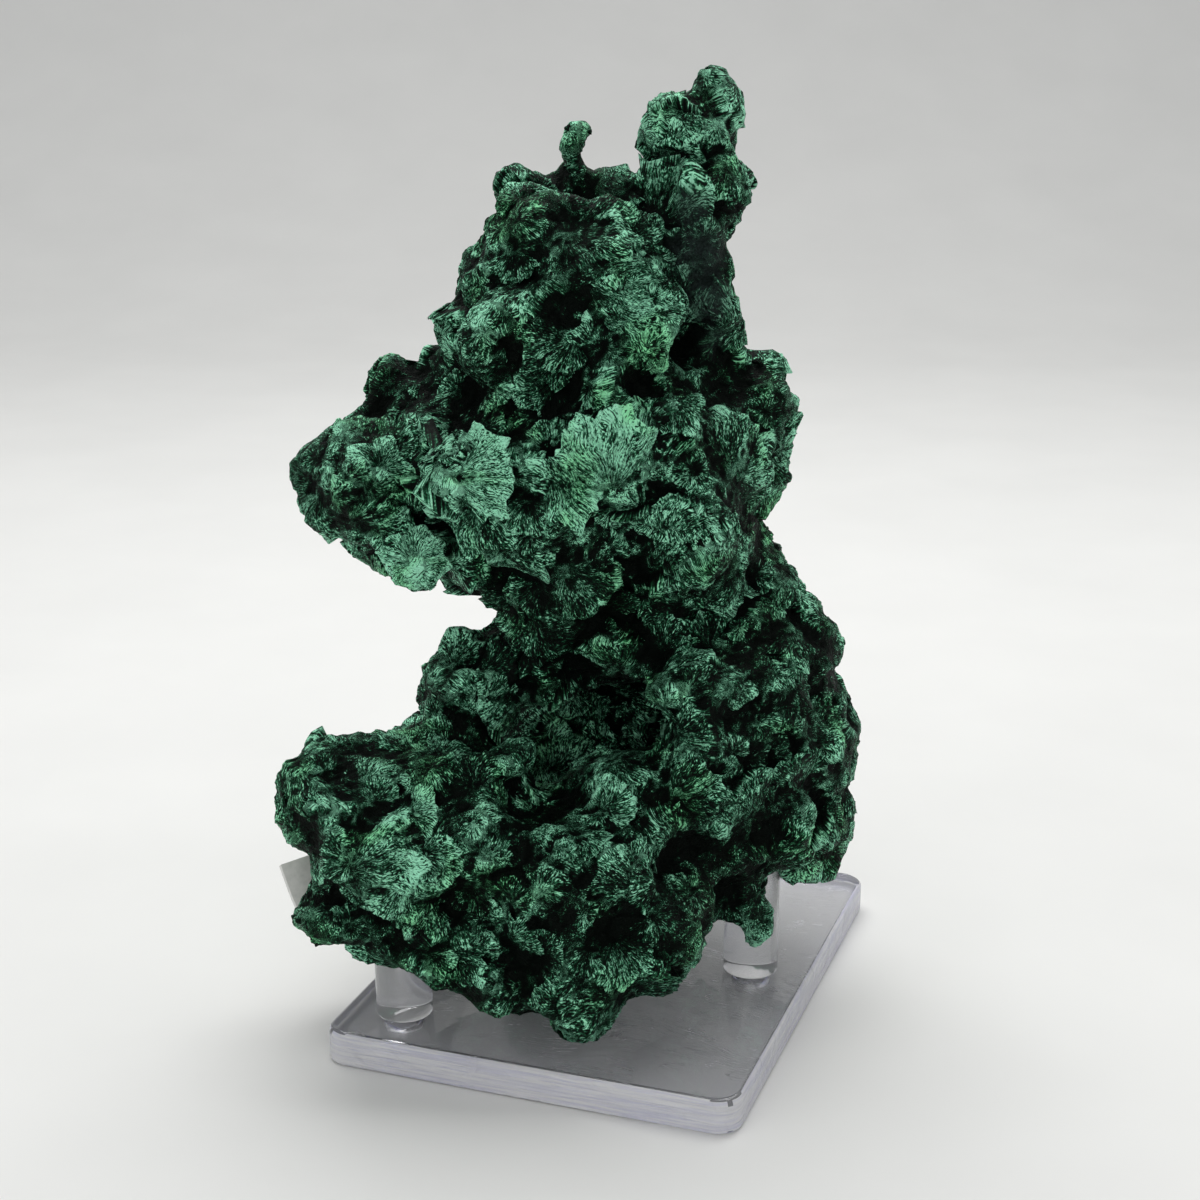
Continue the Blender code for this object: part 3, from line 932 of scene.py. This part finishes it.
def fitted_skin(mesh, faces):
    """An even skin around a closed mesh, of at most so many faces."""
    draft = remeshed(mesh.copy(), DRAFT_VOXEL)
    voxel = DRAFT_VOXEL * math.sqrt(len(draft.polygons) / faces)
    fine = remeshed(mesh.copy(), voxel)
    while len(fine.polygons) > faces:
        voxel *= 1.01 * math.sqrt(len(fine.polygons) / faces)
        fine = remeshed(mesh.copy(), voxel)
    return fine


def rough_skin(settings):
    """The solid's form as an even skin with coarse relief, and a search tree of its evened-out form."""
    rough = remeshed(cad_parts["malachite"].data.copy(), ROUGH_VOXEL)
    edges = mesh_edges(rough)
    set_mesh_points(rough, smoothed(mesh_points(rough), edges, 4))
    normals = smoothed(mesh_normals(rough), edges, 3)
    relief = coarse_relief(mesh_points(rough), settings)
    set_mesh_points(rough, mesh_points(rough) + normals * relief[:, None])
    set_mesh_points(rough, sunk_points(rough, edges, settings.sink))
    return rough, search_tree(rough, smoothed(mesh_points(rough), edges, 4))


def nearest_fans(points, fan_tree):
    """The number of the fan nearest to each point, and how far away it is."""
    owners = []
    gaps = []
    for point in points:
        _, _, face, gap = fan_tree.find_nearest(Vector(point))
        owners.append(face // (CORE_ROWS * CORE_COLUMNS))
        gaps.append(gap)
    return np.array(owners), np.array(gaps)


def build_skin(settings, material):
    """The malachite's whole skin, raised from the solid that carries it, with its fans grown in."""
    rough, drape = rough_skin(settings)
    fans = scattered_fans(rough, drape)
    core, fan_tree = fans_core(fans, drape)
    fine = fitted_skin(joined(rough, core), settings.faces)
    edges = mesh_edges(fine)
    points = smoothed(mesh_points(fine), edges, 1)
    set_mesh_points(fine, points)
    normals = smoothed(mesh_normals(fine), edges, 1)

    owners, gaps = nearest_fans(points, fan_tree)
    roots, headings, sides = (
        np.array([getattr(fan, trait) for fan in fans])[owners] for trait in ("root", "heading", "side")
    )
    radii, tones_and_light, numbers = (
        np.array([float(getattr(fan, trait)) for fan in fans])[owners]
        for trait in ("radius", "tone", "number")
    )
    along = ((points - roots) * headings).sum(1)
    across = ((points - roots) * sides).sum(1)
    reaches = np.hypot(along, across)
    rays = fibre_rays(np.arctan2(across, along), np.maximum(radii, reaches), numbers, points)
    grain = layered_noise(points / GRAIN_WIDTH, 3, GRAIN_SEED, ridged=True)
    fibre = gradient_noise(rays * 0.45 + reaches[:, None] * 0.04, FIBRE_SEED)
    relief = settings.grain_height * (grain - RIDGE_MEAN) + FIBRE_HEIGHT * fibre
    points = clear_of_stand(within_box(points + normals * relief[:, None], "malachite"))
    set_mesh_points(fine, points)

    tree = search_tree(fine, points)
    crest, hollow = relief_lights(points, mesh_normals(fine), edges)
    # Painted highlight towards each fan's lip, and painted shade in the gaps away from the fans.
    crest += 0.35 * (np.clip(reaches / radii, 0.0, 1.0) - 0.6)
    hollow = np.clip(hollow + 0.10 * np.clip(gaps - 1.2, 0.0, 3.0), 0.0, 1.0)
    write_traits(fine, tree, points, rays, reaches, crest, hollow, tones_and_light)
    skin = link_piece("malachite_skin", fine, material)
    fine.shade_smooth()
    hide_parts("malachite")
    return tree, drape, fans


def build_fans(name, fans, drape, tree, material, rows=None, columns=None):
    """Fans as one fine mesh; without rows and columns the faces follow each fan's size."""
    points = []
    faces = []
    traits = []
    for fan in fans:
        fan_columns = columns or max(40, int(fan.radius * fan.spread / MAIN_FACE_WIDTH))
        fan_rows = rows or max(14, int(fan.radius / MAIN_FACE_LENGTH))
        shape, shape_faces, angles, reaches, wrinkles = fan.closed(drape, fan_rows, fan_columns, fan.depth())
        sunk = np.zeros(len(shape))
        sunk[(fan_rows + 1) * (fan_columns + 1):] = 1.0
        fan_traits = [angles, reaches, reaches / fan.radius, wrinkles, sunk]
        fan_traits += [np.full(len(shape), value) for value in (fan.tone, fan.number)]
        traits.append(np.stack(fan_traits, 1))
        faces += [tuple(corner + len(points) for corner in face) for face in shape_faces]
        points += shape.tolist()
    points = clear_of_stand(within_box(np.array(points), "malachite"))
    angles, reaches, part, wrinkles, sunk, tones_and_light, numbers = np.concatenate(traits).T
    mesh = bpy.data.meshes.new(name)
    mesh.from_pydata((points * MM).tolist(), [], faces)
    mesh.update()
    rays = fibre_rays(angles, reaches / np.maximum(part, 0.05), numbers, points)
    # Painted highlight on each fan's lip and raised wrinkles; painted shade on its underside and towards its
    # root.
    rim = 0.75 * part ** 2 + 0.22 * smooth_step(0.86, 1.0, part)
    crest = np.where(sunk > 0.5, -0.1, rim - 0.20 + 0.35 * wrinkles)
    hollow = np.where(sunk > 0.5, 0.7, 0.22 * (1.0 - part) ** 2)
    write_traits(mesh, tree, points, rays, reaches, crest, hollow, tones_and_light)
    mesh.shade_smooth()
    link_piece(name, mesh, material)


def build_main_fans(material, tree, drape):
    """The large fans, each on the skin where the photograph shows its root."""
    fans = []
    for number, (pixel, angle, radius, spread, rise, tone, cling) in enumerate(MAIN_FANS):
        origin, way = photo_ray(*pixel)
        root, normal = tree.ray_cast(origin, way)[:2]
        if root is None:
            raise RuntimeError(f"no stone shows at pixel {pixel}")
        outward = normal * 0.5 - way * 0.7
        fan = Fan(root, outward, picture_way(angle), radius, math.radians(spread), rise, tone, 300 + number)
        fan.cling = cling
        fans.append(fan)
    build_fans("malachite_main_fans", fans, drape, tree, material)


def build_small_fans(material, tree, drape, fans):
    """The several hundred fans that overlap as ledges all over the stone, in three meshes."""
    fans = sorted(fans, key=lambda fan: fan.root.z)
    third = math.ceil(len(fans) / 3)
    names = ("malachite_fans_lower", "malachite_fans_middle", "malachite_fans_upper")
    for part, name in enumerate(names):
        chosen = fans[part * third:(part + 1) * third]
        build_fans(name, chosen, drape, tree, material, FAN_ROWS, FAN_COLUMNS)


# The acrylic stand: sizes in millimetres, and how clear each part is
CORNER_RADIUS = 7.0
RIM = 1.8
RIM_STEPS = 6
CORNER_STEPS = 14
SMOOTH_ANGLE = math.radians(32)
PLATE_CLEARNESS = 0.90
PEG_CLEARNESS = 0.84
EDGE_CLEARNESS = 0.4
PEG_EASE = 0.55
PEG_SEGMENTS = 96
DRILL_SEGMENTS = 64
DRILL_DOME = 0.45
ARM_EASE = 0.35
WELD_DISTANCE = 0.01
CLEAR_COLOUR = (0.99, 0.99, 1.0, 1.0)
WHITE = (1.0, 1.0, 1.0, 1.0)
STREAK_COLOUR = (0.80, 0.80, 0.93, 1.0)
RUBBED_COLOUR = (0.56, 0.56, 0.53, 1.0)
# Directions of the fine scratches, in radians, and how drawn out they are
SCRATCHES = ((0.5, 0.05), (1.9, 0.04), (2.8, 0.06))
SCRATCH_SHARPNESS = 34.0


def clear_acrylic_finish(name, settings, scratched, clearness):
    """Clear polished acrylic, with faint scratches where it has been handled."""
    finish = Finish(name)
    place = finish.place()
    polish = finish.noise(place, 0.02, 2.0, 0.5)
    height = polish * 0.25
    roughness = finish.noise(place, 0.6, 3.0, 0.6).between(0.55, 0.9) * 0.03
    if scratched:
        wander = finish.node("ShaderNodeTexNoise", None, {"Vector": place, "Scale": 0.02}, 1)
        bent = finish.vector("ADD", place, finish.vector("SCALE", wander, Scale=40.0))
        for turn, stretch in SCRATCHES:
            sockets = {"Vector": bent, "Rotation": (0.0, 0.0, turn), "Scale": (stretch, 1.4, 0.3)}
            hair = finish.noise(finish.node("ShaderNodeMapping", None, sockets), 0.55, 1.0, 0.5)
            line = 1.0 - ((hair - 0.5) * SCRATCH_SHARPNESS).math("ABSOLUTE").clipped()
            patch = finish.noise(place, 0.05 + turn * 0.01, 2.0).between(0.56, 0.66)
            roughness = roughness + line * patch * 0.5
            height = height + line * patch * 0.12
    finish.set(
        Base_Color=CLEAR_COLOUR,
        Roughness=roughness.clipped(),
        Normal=finish.bump(height, 0.5, 0.25),
        IOR=settings.index,
        Transmission_Weight=clearness,
    )
    add_tint(finish, settings)
    return finish.material


def sawn_edge_finish(settings):
    """The plate's cut and flame-polished walls, hazy with fine lines along them."""
    finish = Finish("acrylic_edge")
    place = finish.place()
    stretched = finish.node("ShaderNodeMapping", None, {"Vector": place, "Scale": (0.05, 0.05, 1.5)})
    lines = finish.noise(stretched, 0.9, 4.0, 0.6, 0.8)
    swirl = finish.noise(place, 0.10, 2.0, 0.5, 1.5)
    finish.set(
        Base_Color=finish.mix(lines.between(0.38, 0.58), STREAK_COLOUR, WHITE),
        Roughness=(0.06 + lines * 0.16).clipped(),
        Normal=finish.bump(lines * 1.2 + swirl * 2.0, 0.9, 0.6),
        IOR=settings.index,
        Transmission_Weight=EDGE_CLEARNESS,
    )
    add_tint(finish, settings)
    return finish.material


def add_tint(finish, settings):
    """Let the acrylic take a little of the light that crosses it."""
    absorption = finish.tree.nodes.new("ShaderNodeVolumeAbsorption")
    absorption.inputs["Color"].default_value = (*settings.tint, 1.0)
    absorption.inputs["Density"].default_value = settings.tint_density
    finish.tree.links.new(absorption.outputs["Volume"], finish.tree.nodes["Material Output"].inputs["Volume"])


def frosted_finish(settings):
    """Satin grey acrylic of the side arm."""
    finish = Finish("frosted_acrylic")
    place = finish.place()
    mottle = finish.noise(place, 0.5, 4.0, 0.6)
    rubbed = finish.noise(place, 3.0, 3.0, 0.6)
    finish.set(
        Base_Color=finish.mix(mottle.between(0.3, 0.7), (*settings.frosted_colour, 1.0), RUBBED_COLOUR),
        Roughness=(0.32 + rubbed * 0.18).clipped(),
        Normal=finish.bump(rubbed, 0.3, 0.08),
        Coat_Weight=0.2,
    )
    return finish.material


def rounded_outline(half_width, half_depth, radius, height):
    """Points round a level rectangle with round corners, anticlockwise."""
    outline = []
    corners = ((1, 1, 0), (-1, 1, 90), (-1, -1, 180), (1, -1, 270))
    for sign_x, sign_y, start in corners:
        for step in range(CORNER_STEPS + 1):
            angle = math.radians(start + 90.0 * step / CORNER_STEPS)
            outline.append((
                sign_x * (half_width - radius) + radius * math.cos(angle),
                sign_y * (half_depth - radius) + radius * math.sin(angle),
                height,
            ))
    return outline


def skinned_rings(name, rings):
    """A closed mesh through rings of points, in millimetres, from the lowest to the highest."""
    shape = bmesh.new()
    rows = [[shape.verts.new(Vector(point) * MM) for point in ring] for ring in rings]
    for lower, upper in zip(rows, rows[1:]):
        for place in range(len(lower)):
            following = (place + 1) % len(lower)
            shape.faces.new((lower[place], lower[following], upper[following], upper[place]))
    shape.faces.new(list(reversed(rows[0])))
    shape.faces.new(rows[-1])
    mesh = bpy.data.meshes.new(name)
    shape.to_mesh(mesh)
    shape.free()
    return mesh


def turned_body(name, profile, segments):
    """A closed turned body about Z from (radius, height) pairs, bottom to top, in millimetres."""
    turns = [math.tau * step / segments for step in range(segments)]
    return skinned_rings(name, [
        [(radius * math.cos(turn), radius * math.sin(turn), height) for turn in turns]
        for radius, height in profile
    ])


def plate_rings(low, high):
    """The plate's outlines from its underside to its top, eased below and rounded above."""
    levels = []
    for step in range(RIM_STEPS + 1):
        angle = math.radians(90.0 * step / RIM_STEPS)
        levels.append((RIM * 0.5 * (1 - math.sin(angle)), low.z + RIM * 0.5 * (1 - math.cos(angle))))
    for step in range(RIM_STEPS + 1):
        angle = math.radians(90.0 * step / RIM_STEPS)
        levels.append((RIM * (1 - math.cos(angle)), high.z - RIM * (1 - math.sin(angle))))
    half = (high - low) / 2
    return [
        rounded_outline(half.x - inset, half.y - inset, CORNER_RADIUS - inset * 0.5, height)
        for inset, height in levels
    ]


def drill_body(settings, middle, floor):
    """The drilled recess's shape: a straight bore with a rounded end."""
    radius = settings.recess_radius
    dome = radius * DRILL_DOME
    shoulder = settings.recess_depth - dome
    profile = [(radius, -1.0), (radius, shoulder)]
    for step in range(1, RIM_STEPS + 1):
        angle = math.radians(82.0 * step / RIM_STEPS)
        profile.append((radius * math.cos(angle), shoulder + dome * math.sin(angle)))
    drill = bpy.data.objects.new("drill", turned_body("drill", profile, DRILL_SEGMENTS))
    bpy.context.scene.collection.objects.link(drill)
    drill.location = Vector((middle.x, middle.y, floor)) * MM
    return drill


def build_plate(settings, material, edge_material):
    """The acrylic plate with a softened rim and a drilled recess under each peg."""
    low, high = node_box("stand_plate")
    carrier = bpy.data.objects.new("plate", skinned_rings("plate", plate_rings(low, high)))
    bpy.context.scene.collection.objects.link(carrier)
    drills = []
    for name in PEG_NODES:
        peg_low, peg_high = node_box(name)
        drills.append(drill_body(settings, (peg_low + peg_high) / 2, low.z))
        cut = carrier.modifiers.new(name, "BOOLEAN")
        cut.operation = "DIFFERENCE"
        cut.solver = "EXACT"
        cut.object = drills[-1]
    mesh = evaluated_copy(carrier)
    for drill in drills:
        bpy.data.objects.remove(drill, do_unlink=True)
    plate = link_piece("acrylic_plate", mesh, material)
    mesh.shade_smooth()
    mesh.set_sharp_from_angle(angle=SMOOTH_ANGLE)
    mesh.materials.append(edge_material)
    half = (high - low) / 2
    for face in mesh.polygons:
        centre = face.center / MM
        outside = max(abs(centre.x) - half.x, abs(centre.y) - half.y) > -RIM
        if outside and abs(face.normal.z) < 0.8:
            face.material_index = 1
    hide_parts("stand_plate")


def peg_profile(radius, bottom, top):
    """A peg's radius and height from its foot to its top, with both ends eased."""
    straight = radius - PEG_EASE
    profile = [(radius - PEG_EASE * 1.2, bottom)]
    for angle in map(math.radians, (25, 50, 75, 90)):
        lowered = PEG_EASE - PEG_EASE * math.cos(angle)
        profile.append((straight + PEG_EASE * math.sin(angle), bottom + lowered))
    for angle in map(math.radians, (0, 30, 60, 88)):
        raised = PEG_EASE * math.sin(angle)
        profile.append((straight + PEG_EASE * math.cos(angle), top - PEG_EASE + raised))
    return profile


def build_pegs(material):
    """Three clear pegs with polished, slightly eased ends."""
    for name in PEG_NODES:
        low, high = node_box(name)
        mesh = turned_body(name, peg_profile((high.x - low.x) / 2, low.z, high.z), PEG_SEGMENTS)
        middle = (low + high) / 2
        mesh.transform(Matrix.Translation(Vector((middle.x, middle.y, 0.0)) * MM))
        mesh.shade_smooth()
        mesh.set_sharp_from_angle(angle=SMOOTH_ANGLE)
        peg = link_piece("acrylic_" + name, mesh, material)
        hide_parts(name)


def build_arm(material):
    """The bent side arm, with its edges eased."""
    carrier = bpy.data.objects.new("arm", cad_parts["side_arm"].data.copy())
    bpy.context.scene.collection.objects.link(carrier)
    weld = carrier.modifiers.new("weld", "WELD")
    weld.merge_threshold = WELD_DISTANCE * MM
    ease = carrier.modifiers.new("ease", "BEVEL")
    ease.width = ARM_EASE * MM
    ease.segments = 3
    ease.limit_method = "ANGLE"
    ease.angle_limit = math.radians(50)
    mesh = evaluated_copy(carrier)
    mesh.shade_smooth()
    mesh.set_sharp_from_angle(angle=math.radians(25))
    arm = link_piece("acrylic_side_arm", mesh, material)
    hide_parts("side_arm")


# Floor, lights and camera

# The sweep, in metres: half its width, its near end, where the flat ends, its bend and its top
SWEEP_HALF_WIDTH = 3.0
SWEEP_NEAR = -1.8
SWEEP_FLAT = 1.0
SWEEP_BEND = 0.9
SWEEP_TOP = 3.0
CLOUD_SHADE = 0.965
LIGHT_TARGET = (0.0, 0.0, 0.12)
WALL_TARGET = (0.0, 2.2, 0.5)
SKY_COLOUR = (0.97, 0.98, 1.0, 1.0)
# Soft lights: place and target in the view's axes, in metres, size, and share of the fill's power
SOFT_LIGHTS = {
    "left_soft_light": ((-1.0, -0.75, 0.75), LIGHT_TARGET, (0.9, 0.9), 1.0),
    "right_soft_light": ((1.05, -0.35, 0.6), LIGHT_TARGET, (0.8, 0.9), 0.4),
    "front_soft_light": ((-0.15, -1.1, 0.55), LIGHT_TARGET, (1.2, 0.6), 1.0),
    "backdrop_soft_light": ((0.0, 0.7, 1.5), WALL_TARGET, (1.6, 0.5), 1.5),
}


def build_sweep(settings):
    """A pale floor that turns up into a backdrop far behind."""
    turn = Matrix.Rotation(VIEW_TURN, 3, "Z")
    shape = bmesh.new()
    floor = -FLOOR_GAP * MM
    profile = [(SWEEP_NEAR, floor), (SWEEP_FLAT, floor)]
    for angle in map(math.radians, range(6, 91, 6)):
        back = SWEEP_FLAT + SWEEP_BEND * math.sin(angle)
        profile.append((back, floor + SWEEP_BEND * (1 - math.cos(angle))))
    profile.append((SWEEP_FLAT + SWEEP_BEND, SWEEP_TOP))
    rows = [
        [shape.verts.new(turn @ Vector((side * SWEEP_HALF_WIDTH, back, up))) for side in (-1, 1)]
        for back, up in profile
    ]
    for near, far in zip(rows, rows[1:]):
        shape.faces.new((near[0], near[1], far[1], far[0]))
    mesh = bpy.data.meshes.new("pale_sweep")
    shape.to_mesh(mesh)
    shape.free()
    mesh.shade_smooth()
    finish = Finish("pale_sweep")
    place = finish.place()
    cloud = finish.noise(place, 0.012, 3.0, 0.5).between(0.3, 0.7)
    grain = finish.noise(place, 0.9, 3.0, 0.6)
    dimmed = [CLOUD_SHADE * part for part in settings.floor_colour]
    colour = finish.mix(cloud, (*settings.floor_colour, 1.0), (*dimmed, 1.0))
    finish.set(
        Base_Color=colour, Roughness=0.5, Normal=finish.bump(grain, 0.05, 0.2), Specular_IOR_Level=0.25,
    )
    sweep = bpy.data.objects.new("pale_sweep", mesh)
    bpy.context.scene.collection.objects.link(sweep)
    mesh.materials.append(finish.material)


def add_soft_light(name, place, target, size, power):
    """A large soft light that looks at a target; places are in the view's axes, in metres."""
    data = bpy.data.lights.new(name, "AREA")
    data.shape = "RECTANGLE"
    data.size, data.size_y = size
    data.energy = power
    light = bpy.data.objects.new(name, data)
    bpy.context.scene.collection.objects.link(light)
    turn = Matrix.Rotation(VIEW_TURN, 3, "Z")
    light.location = turn @ Vector(place)
    way = turn @ (Vector(target) - Vector(place))
    light.rotation_euler = way.to_track_quat("-Z", "Y").to_euler()


def build_lights(settings):
    """Even soft studio light, strongest from above."""
    add_soft_light("overhead_soft_light", (0.02, 0.38, 1.0), LIGHT_TARGET, (1.1, 0.7), settings.key_power)
    for name, (place, target, size, share) in SOFT_LIGHTS.items():
        add_soft_light(name, place, target, size, settings.fill_power * share)
    world = bpy.data.worlds.new("soft_surround")
    world.use_nodes = True
    background = world.node_tree.nodes["Background"]
    background.inputs["Color"].default_value = SKY_COLOUR
    background.inputs["Strength"].default_value = settings.sky_strength
    bpy.context.scene.world = world
    bpy.context.scene.view_settings.view_transform = "Standard"


def build_camera():
    """The photograph's own view."""
    data = bpy.data.cameras.new("photo_view")
    data.sensor_width = SENSOR_WIDTH
    data.lens = PHOTO_FOCAL / PHOTO_SIZE * SENSOR_WIDTH
    data.clip_start = 0.01
    camera = bpy.data.objects.new("photo_view", data)
    bpy.context.scene.collection.objects.link(camera)
    camera.location = view_point(*PHOTO_CAMERA) * MM
    camera.rotation_euler = (math.pi / 2 - PHOTO_PITCH, 0.0, VIEW_TURN)
    bpy.context.scene.camera = camera


# Operators

class SPECIMEN_OT_malachite(bpy.types.Operator):
    """Build the malachite's skin, its main fans and its ledges"""

    bl_idname = "specimen.malachite"
    bl_label = "Malachite"

    def execute(self, context):
        settings = context.scene.malachite_stone
        material = malachite_finish(settings)
        tree, drape, fans = build_skin(settings, material)
        build_main_fans(material, tree, drape)
        build_small_fans(material, tree, drape, fans)
        return {"FINISHED"}


class SPECIMEN_OT_plate(bpy.types.Operator):
    """Build the clear acrylic plate"""

    bl_idname = "specimen.plate"
    bl_label = "Acrylic plate"

    def execute(self, context):
        settings = context.scene.malachite_acrylic
        clear = clear_acrylic_finish("clear_acrylic_plate", settings, True, PLATE_CLEARNESS)
        build_plate(settings, clear, sawn_edge_finish(settings))
        return {"FINISHED"}


class SPECIMEN_OT_pegs(bpy.types.Operator):
    """Build the three clear acrylic pegs"""

    bl_idname = "specimen.pegs"
    bl_label = "Acrylic pegs"

    def execute(self, context):
        settings = context.scene.malachite_acrylic
        build_pegs(clear_acrylic_finish("clear_acrylic_pegs", settings, False, PEG_CLEARNESS))
        return {"FINISHED"}


class SPECIMEN_OT_side_arm(bpy.types.Operator):
    """Build the satin acrylic side arm"""

    bl_idname = "specimen.side_arm"
    bl_label = "Side arm"

    def execute(self, context):
        build_arm(frosted_finish(context.scene.malachite_acrylic))
        return {"FINISHED"}


class SPECIMEN_OT_stage(bpy.types.Operator):
    """Set up the pale floor, the soft light and the camera"""

    bl_idname = "specimen.stage"
    bl_label = "Stage"

    def execute(self, context):
        settings = context.scene.malachite_stage
        build_sweep(settings)
        build_lights(settings)
        build_camera()
        return {"FINISHED"}


class SPECIMEN_PT_panel(bpy.types.Panel):
    """The specimen's settings and its builders"""

    bl_idname = "SPECIMEN_PT_panel"
    bl_label = "Malachite specimen"
    bl_space_type = "VIEW_3D"
    bl_region_type = "UI"
    bl_category = "Specimen"

    def draw(self, context):
        for group_name, operators in PANEL_ROWS.items():
            box = self.layout.box()
            group = getattr(context.scene, group_name)
            for name in group.__annotations__:
                box.prop(group, name)
            for operator in operators:
                box.operator(operator)


PANEL_ROWS = {
    "malachite_stone": ["specimen.malachite"],
    "malachite_acrylic": ["specimen.plate", "specimen.pegs", "specimen.side_arm"],
    "malachite_stage": ["specimen.stage"],
}
SETTINGS = {
    "malachite_stone": StoneSettings,
    "malachite_acrylic": AcrylicSettings,
    "malachite_stage": StageSettings,
}
CLASSES = (
    *SETTINGS.values(), SPECIMEN_OT_malachite, SPECIMEN_OT_plate, SPECIMEN_OT_pegs,
    SPECIMEN_OT_side_arm, SPECIMEN_OT_stage, SPECIMEN_PT_panel,
)


def register():
    """Make the add-on's classes and settings known."""
    for item in CLASSES:
        bpy.utils.register_class(item)
    for name, group in SETTINGS.items():
        setattr(bpy.types.Scene, name, PointerProperty(type=group))


def unregister():
    """Take the add-on's classes and settings away."""
    for name in SETTINGS:
        delattr(bpy.types.Scene, name)
    for item in reversed(CLASSES):
        bpy.utils.unregister_class(item)


def main():
    """Build everything."""
    register()
    bpy.ops.specimen.stage()
    bpy.ops.specimen.malachite()
    bpy.ops.specimen.plate()
    bpy.ops.specimen.pegs()
    bpy.ops.specimen.side_arm()


if __name__ == "__main__":
    main()
